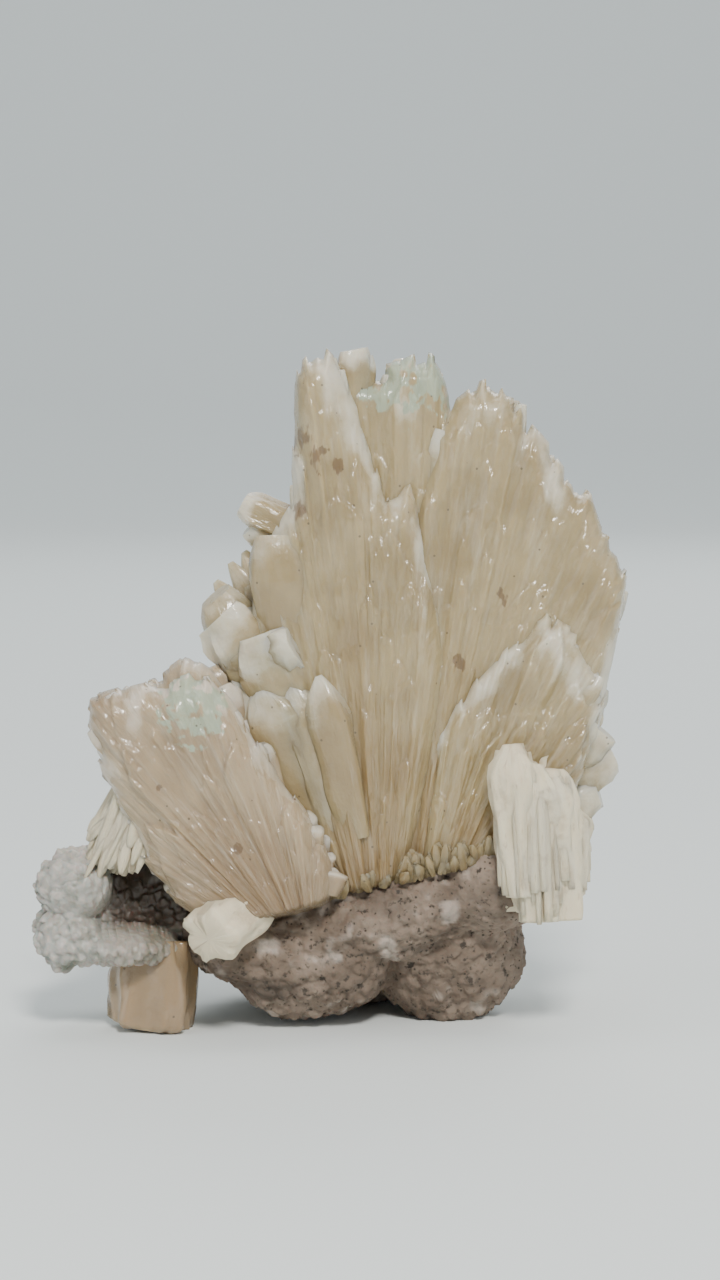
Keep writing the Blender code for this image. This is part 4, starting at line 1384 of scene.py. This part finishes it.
def outward(points: Array, faces: Array) -> Array:
    """The faces, turned as a whole if their signed volume is negative.

    The volume is the sum over faces of centre . (diagonal x diagonal) / 6.

    Args:
        points: places in mm.
        faces: rows of four point numbers.

    Returns:
        The faces, looking outwards.
    """
    flat = points.reshape(-1, 3)
    first, second, third, fourth = (flat[faces[:, corner]] for corner in range(4))
    normal = np.cross(third - first, fourth - second)
    volume = float(np.sum((first + second + third + fourth) * normal)) / 24.0
    return faces if volume > 0.0 else faces[:, ::-1]


@dataclass
class Crust:
    """The knobbly drusy lump at the far left, its ledge and the wall of the hollow, painted dark as
    shade.
    """

    lump: Boulder = field(default_factory=lambda: Boulder((
        Ball((-33.8, -6.5, 19.2), (5.0, 6.0, 4.8)), Ball((-34.6, -7.0, 12.6), (4.6, 6.0, 4.2)),
        Ball((-27.5, -6.5, 11.4), (7.5, 6.5, 2.4), 2), Ball((-30.5, 0.0, 16.0), (6.5, 6.0, 7.4)),
        Ball((-22.5, -0.5, 16.4), (7.5, 4.6, 7.0)),
    ), (-33.5, -4.0, 15.0), (-21.0, -2.0, 13.5), 61, rows=150, columns=200, softness=0.4))

    def build(self, palette: Palette) -> None:
        """Covers the lump with knobs and sugar grains and paints shade into the hollow."""
        places, ray = self.lump.skin()
        knobs, _ = grains(places, 3.4, 62)
        sugar, own = grains(places, 1.1, 65)
        swell = 0.9 * smooth(knobs, 0.95, 0.1) + 0.65 * smooth(sugar, 0.9, 0.2) + 0.5 * own
        places = places + ray * (swell - 0.8 + clouds(places, 6.0, 67, 2) * 0.4)[..., None]
        places[..., 0] = np.minimum(places[..., 0], -17.2)
        places[..., 2] = np.minimum(places[..., 2], 24.4)
        # Painted shade: the wall of the hollow goes into the deep share, which the crust's finish paints
        # nearly black.
        hollow = smooth(places[..., 0], -31.0, -28.5) * smooth(places[..., 1], -8.0, -5.5)
        hollow = hollow * smooth(places[..., 2], 12.5, 14.0)
        frost = smooth(own, 0.3, 0.9) * 0.6 * (1 - hollow)
        ledge = smooth(places[..., 0], -31.0, -26.0) * smooth(places[..., 2], 15.0, 13.0)
        growth_and_shade = np.stack([frost, hollow * 0.9, hollow * 0.0, ledge * 0.35], axis=-1)
        solid = Solid("left_crust_skin")
        faces = sheet_faces(*places.shape[:2], ring=True)
        solid.add(places, outward(places, faces), places[..., (0, 2)], growth_and_shade)
        solid.finish(palette[Finish.DRUSE], Finish.DRUSE.value, ("left_crust",))


@dataclass
class Stubs:
    """The chalky column in front on the right, the blunt front stub and the hanging lower stub."""

    column: tuple[tuple[Place, Place, float], ...] = (
        ((25.0, -13.0, 19.0), (23.9, -12.5, 38.8), 5.6), ((27.6, -13.2, 15.6), (27.0, -12.0, 36.2), 6.2),
        ((29.8, -12.0, 15.6), (29.0, -11.0, 35.4), 5.8), ((29.8, -8.5, 15.4), (28.2, -7.5, 36.6), 6.4),
        ((31.6, -9.5, 18.5), (31.9, -9.0, 29.6), 5.0), ((26.2, -9.5, 16.5), (25.0, -8.5, 36.3), 6.4),
    )

    def fibres(self) -> list[tuple[Place, Place, float]]:
        """Slender fibres round the columns' big crystals: foot, tip and width."""
        chance = np.random.default_rng(71)
        made = []
        for foot, tip, width in self.column:
            foot, tip = np.array(foot), np.array(tip)
            for _ in range(30):
                angle = chance.uniform(0.0, 2 * math.pi)
                around = np.array((math.cos(angle), math.sin(angle), 0.0)) * width * 0.46
                low = foot + (tip - foot) * chance.uniform(0.0, 0.3) + around * 0.95
                high = foot + (tip - foot) * chance.uniform(0.6, 0.97) + around * 0.8
                made.append((tuple(low), tuple(high), chance.uniform(0.6, 1.6)))
        return made

    def build(self, palette: Palette) -> None:
        """Makes the three pieces."""
        column = Solid("chalk_column_fibres")
        core = Crystals(rings=36, rows=44, base=0.85, crest=0.45, shoulder=0.80, square=2.2, rough=0.42,
                        frost=0.0, deep=0.0)
        core.scatter(column, list(self.column), 1.0, 72)
        fine = Crystals(rings=8, rows=16, base=0.8, crest=0.5, shoulder=0.85, rough=0.3,
                        frost=0.0, deep=0.0)
        fine.scatter(column, self.fibres(), 0.8, 73)
        column.finish(palette[Finish.CHALK], Finish.CHALK.value, ("chalk_column",))
        blunt = Crystals(rings=40, rows=40, base=0.92, crest=0.86, shoulder=0.93, square=2.6,
                         rough=0.24, frost=0.0, deep=0.0, slant=0.1)
        front = Solid("front_stub_crystal")
        blunt.scatter(front, [((-10.0, -9.0, 18.4), (-15.5, -18.2, 14.1), 7.0)], 0.95, 74)
        front.finish(palette[Finish.CHALK], Finish.CHALK.value, ("front_stub",))
        lower = Solid("lower_stub_crystal")
        # Painted shade: the lower stub hangs under the rock, so its deep share is raised to paint it
        # darker.
        blunt.deep = 0.8
        blunt.scatter(lower, [((-23.2, -5.5, 11.8), (-23.9, -7.0, 0.1), 10.4)], 0.86, 75)
        lower.finish(palette[Finish.ROSE], Finish.ROSE.value, ("lower_stub",))


def main() -> None:
    """Builds the studio and every piece in order."""
    logging.basicConfig(level=logging.INFO, format="%(name)s: %(message)s")
    Studio().build()
    palette = Palette()
    HostRock().build(palette)
    Crust().build(palette)
    MainFan().build(palette)
    SmallFan().build(palette)
    Stubs().build(palette)


if __name__ == "__main__":
    main()
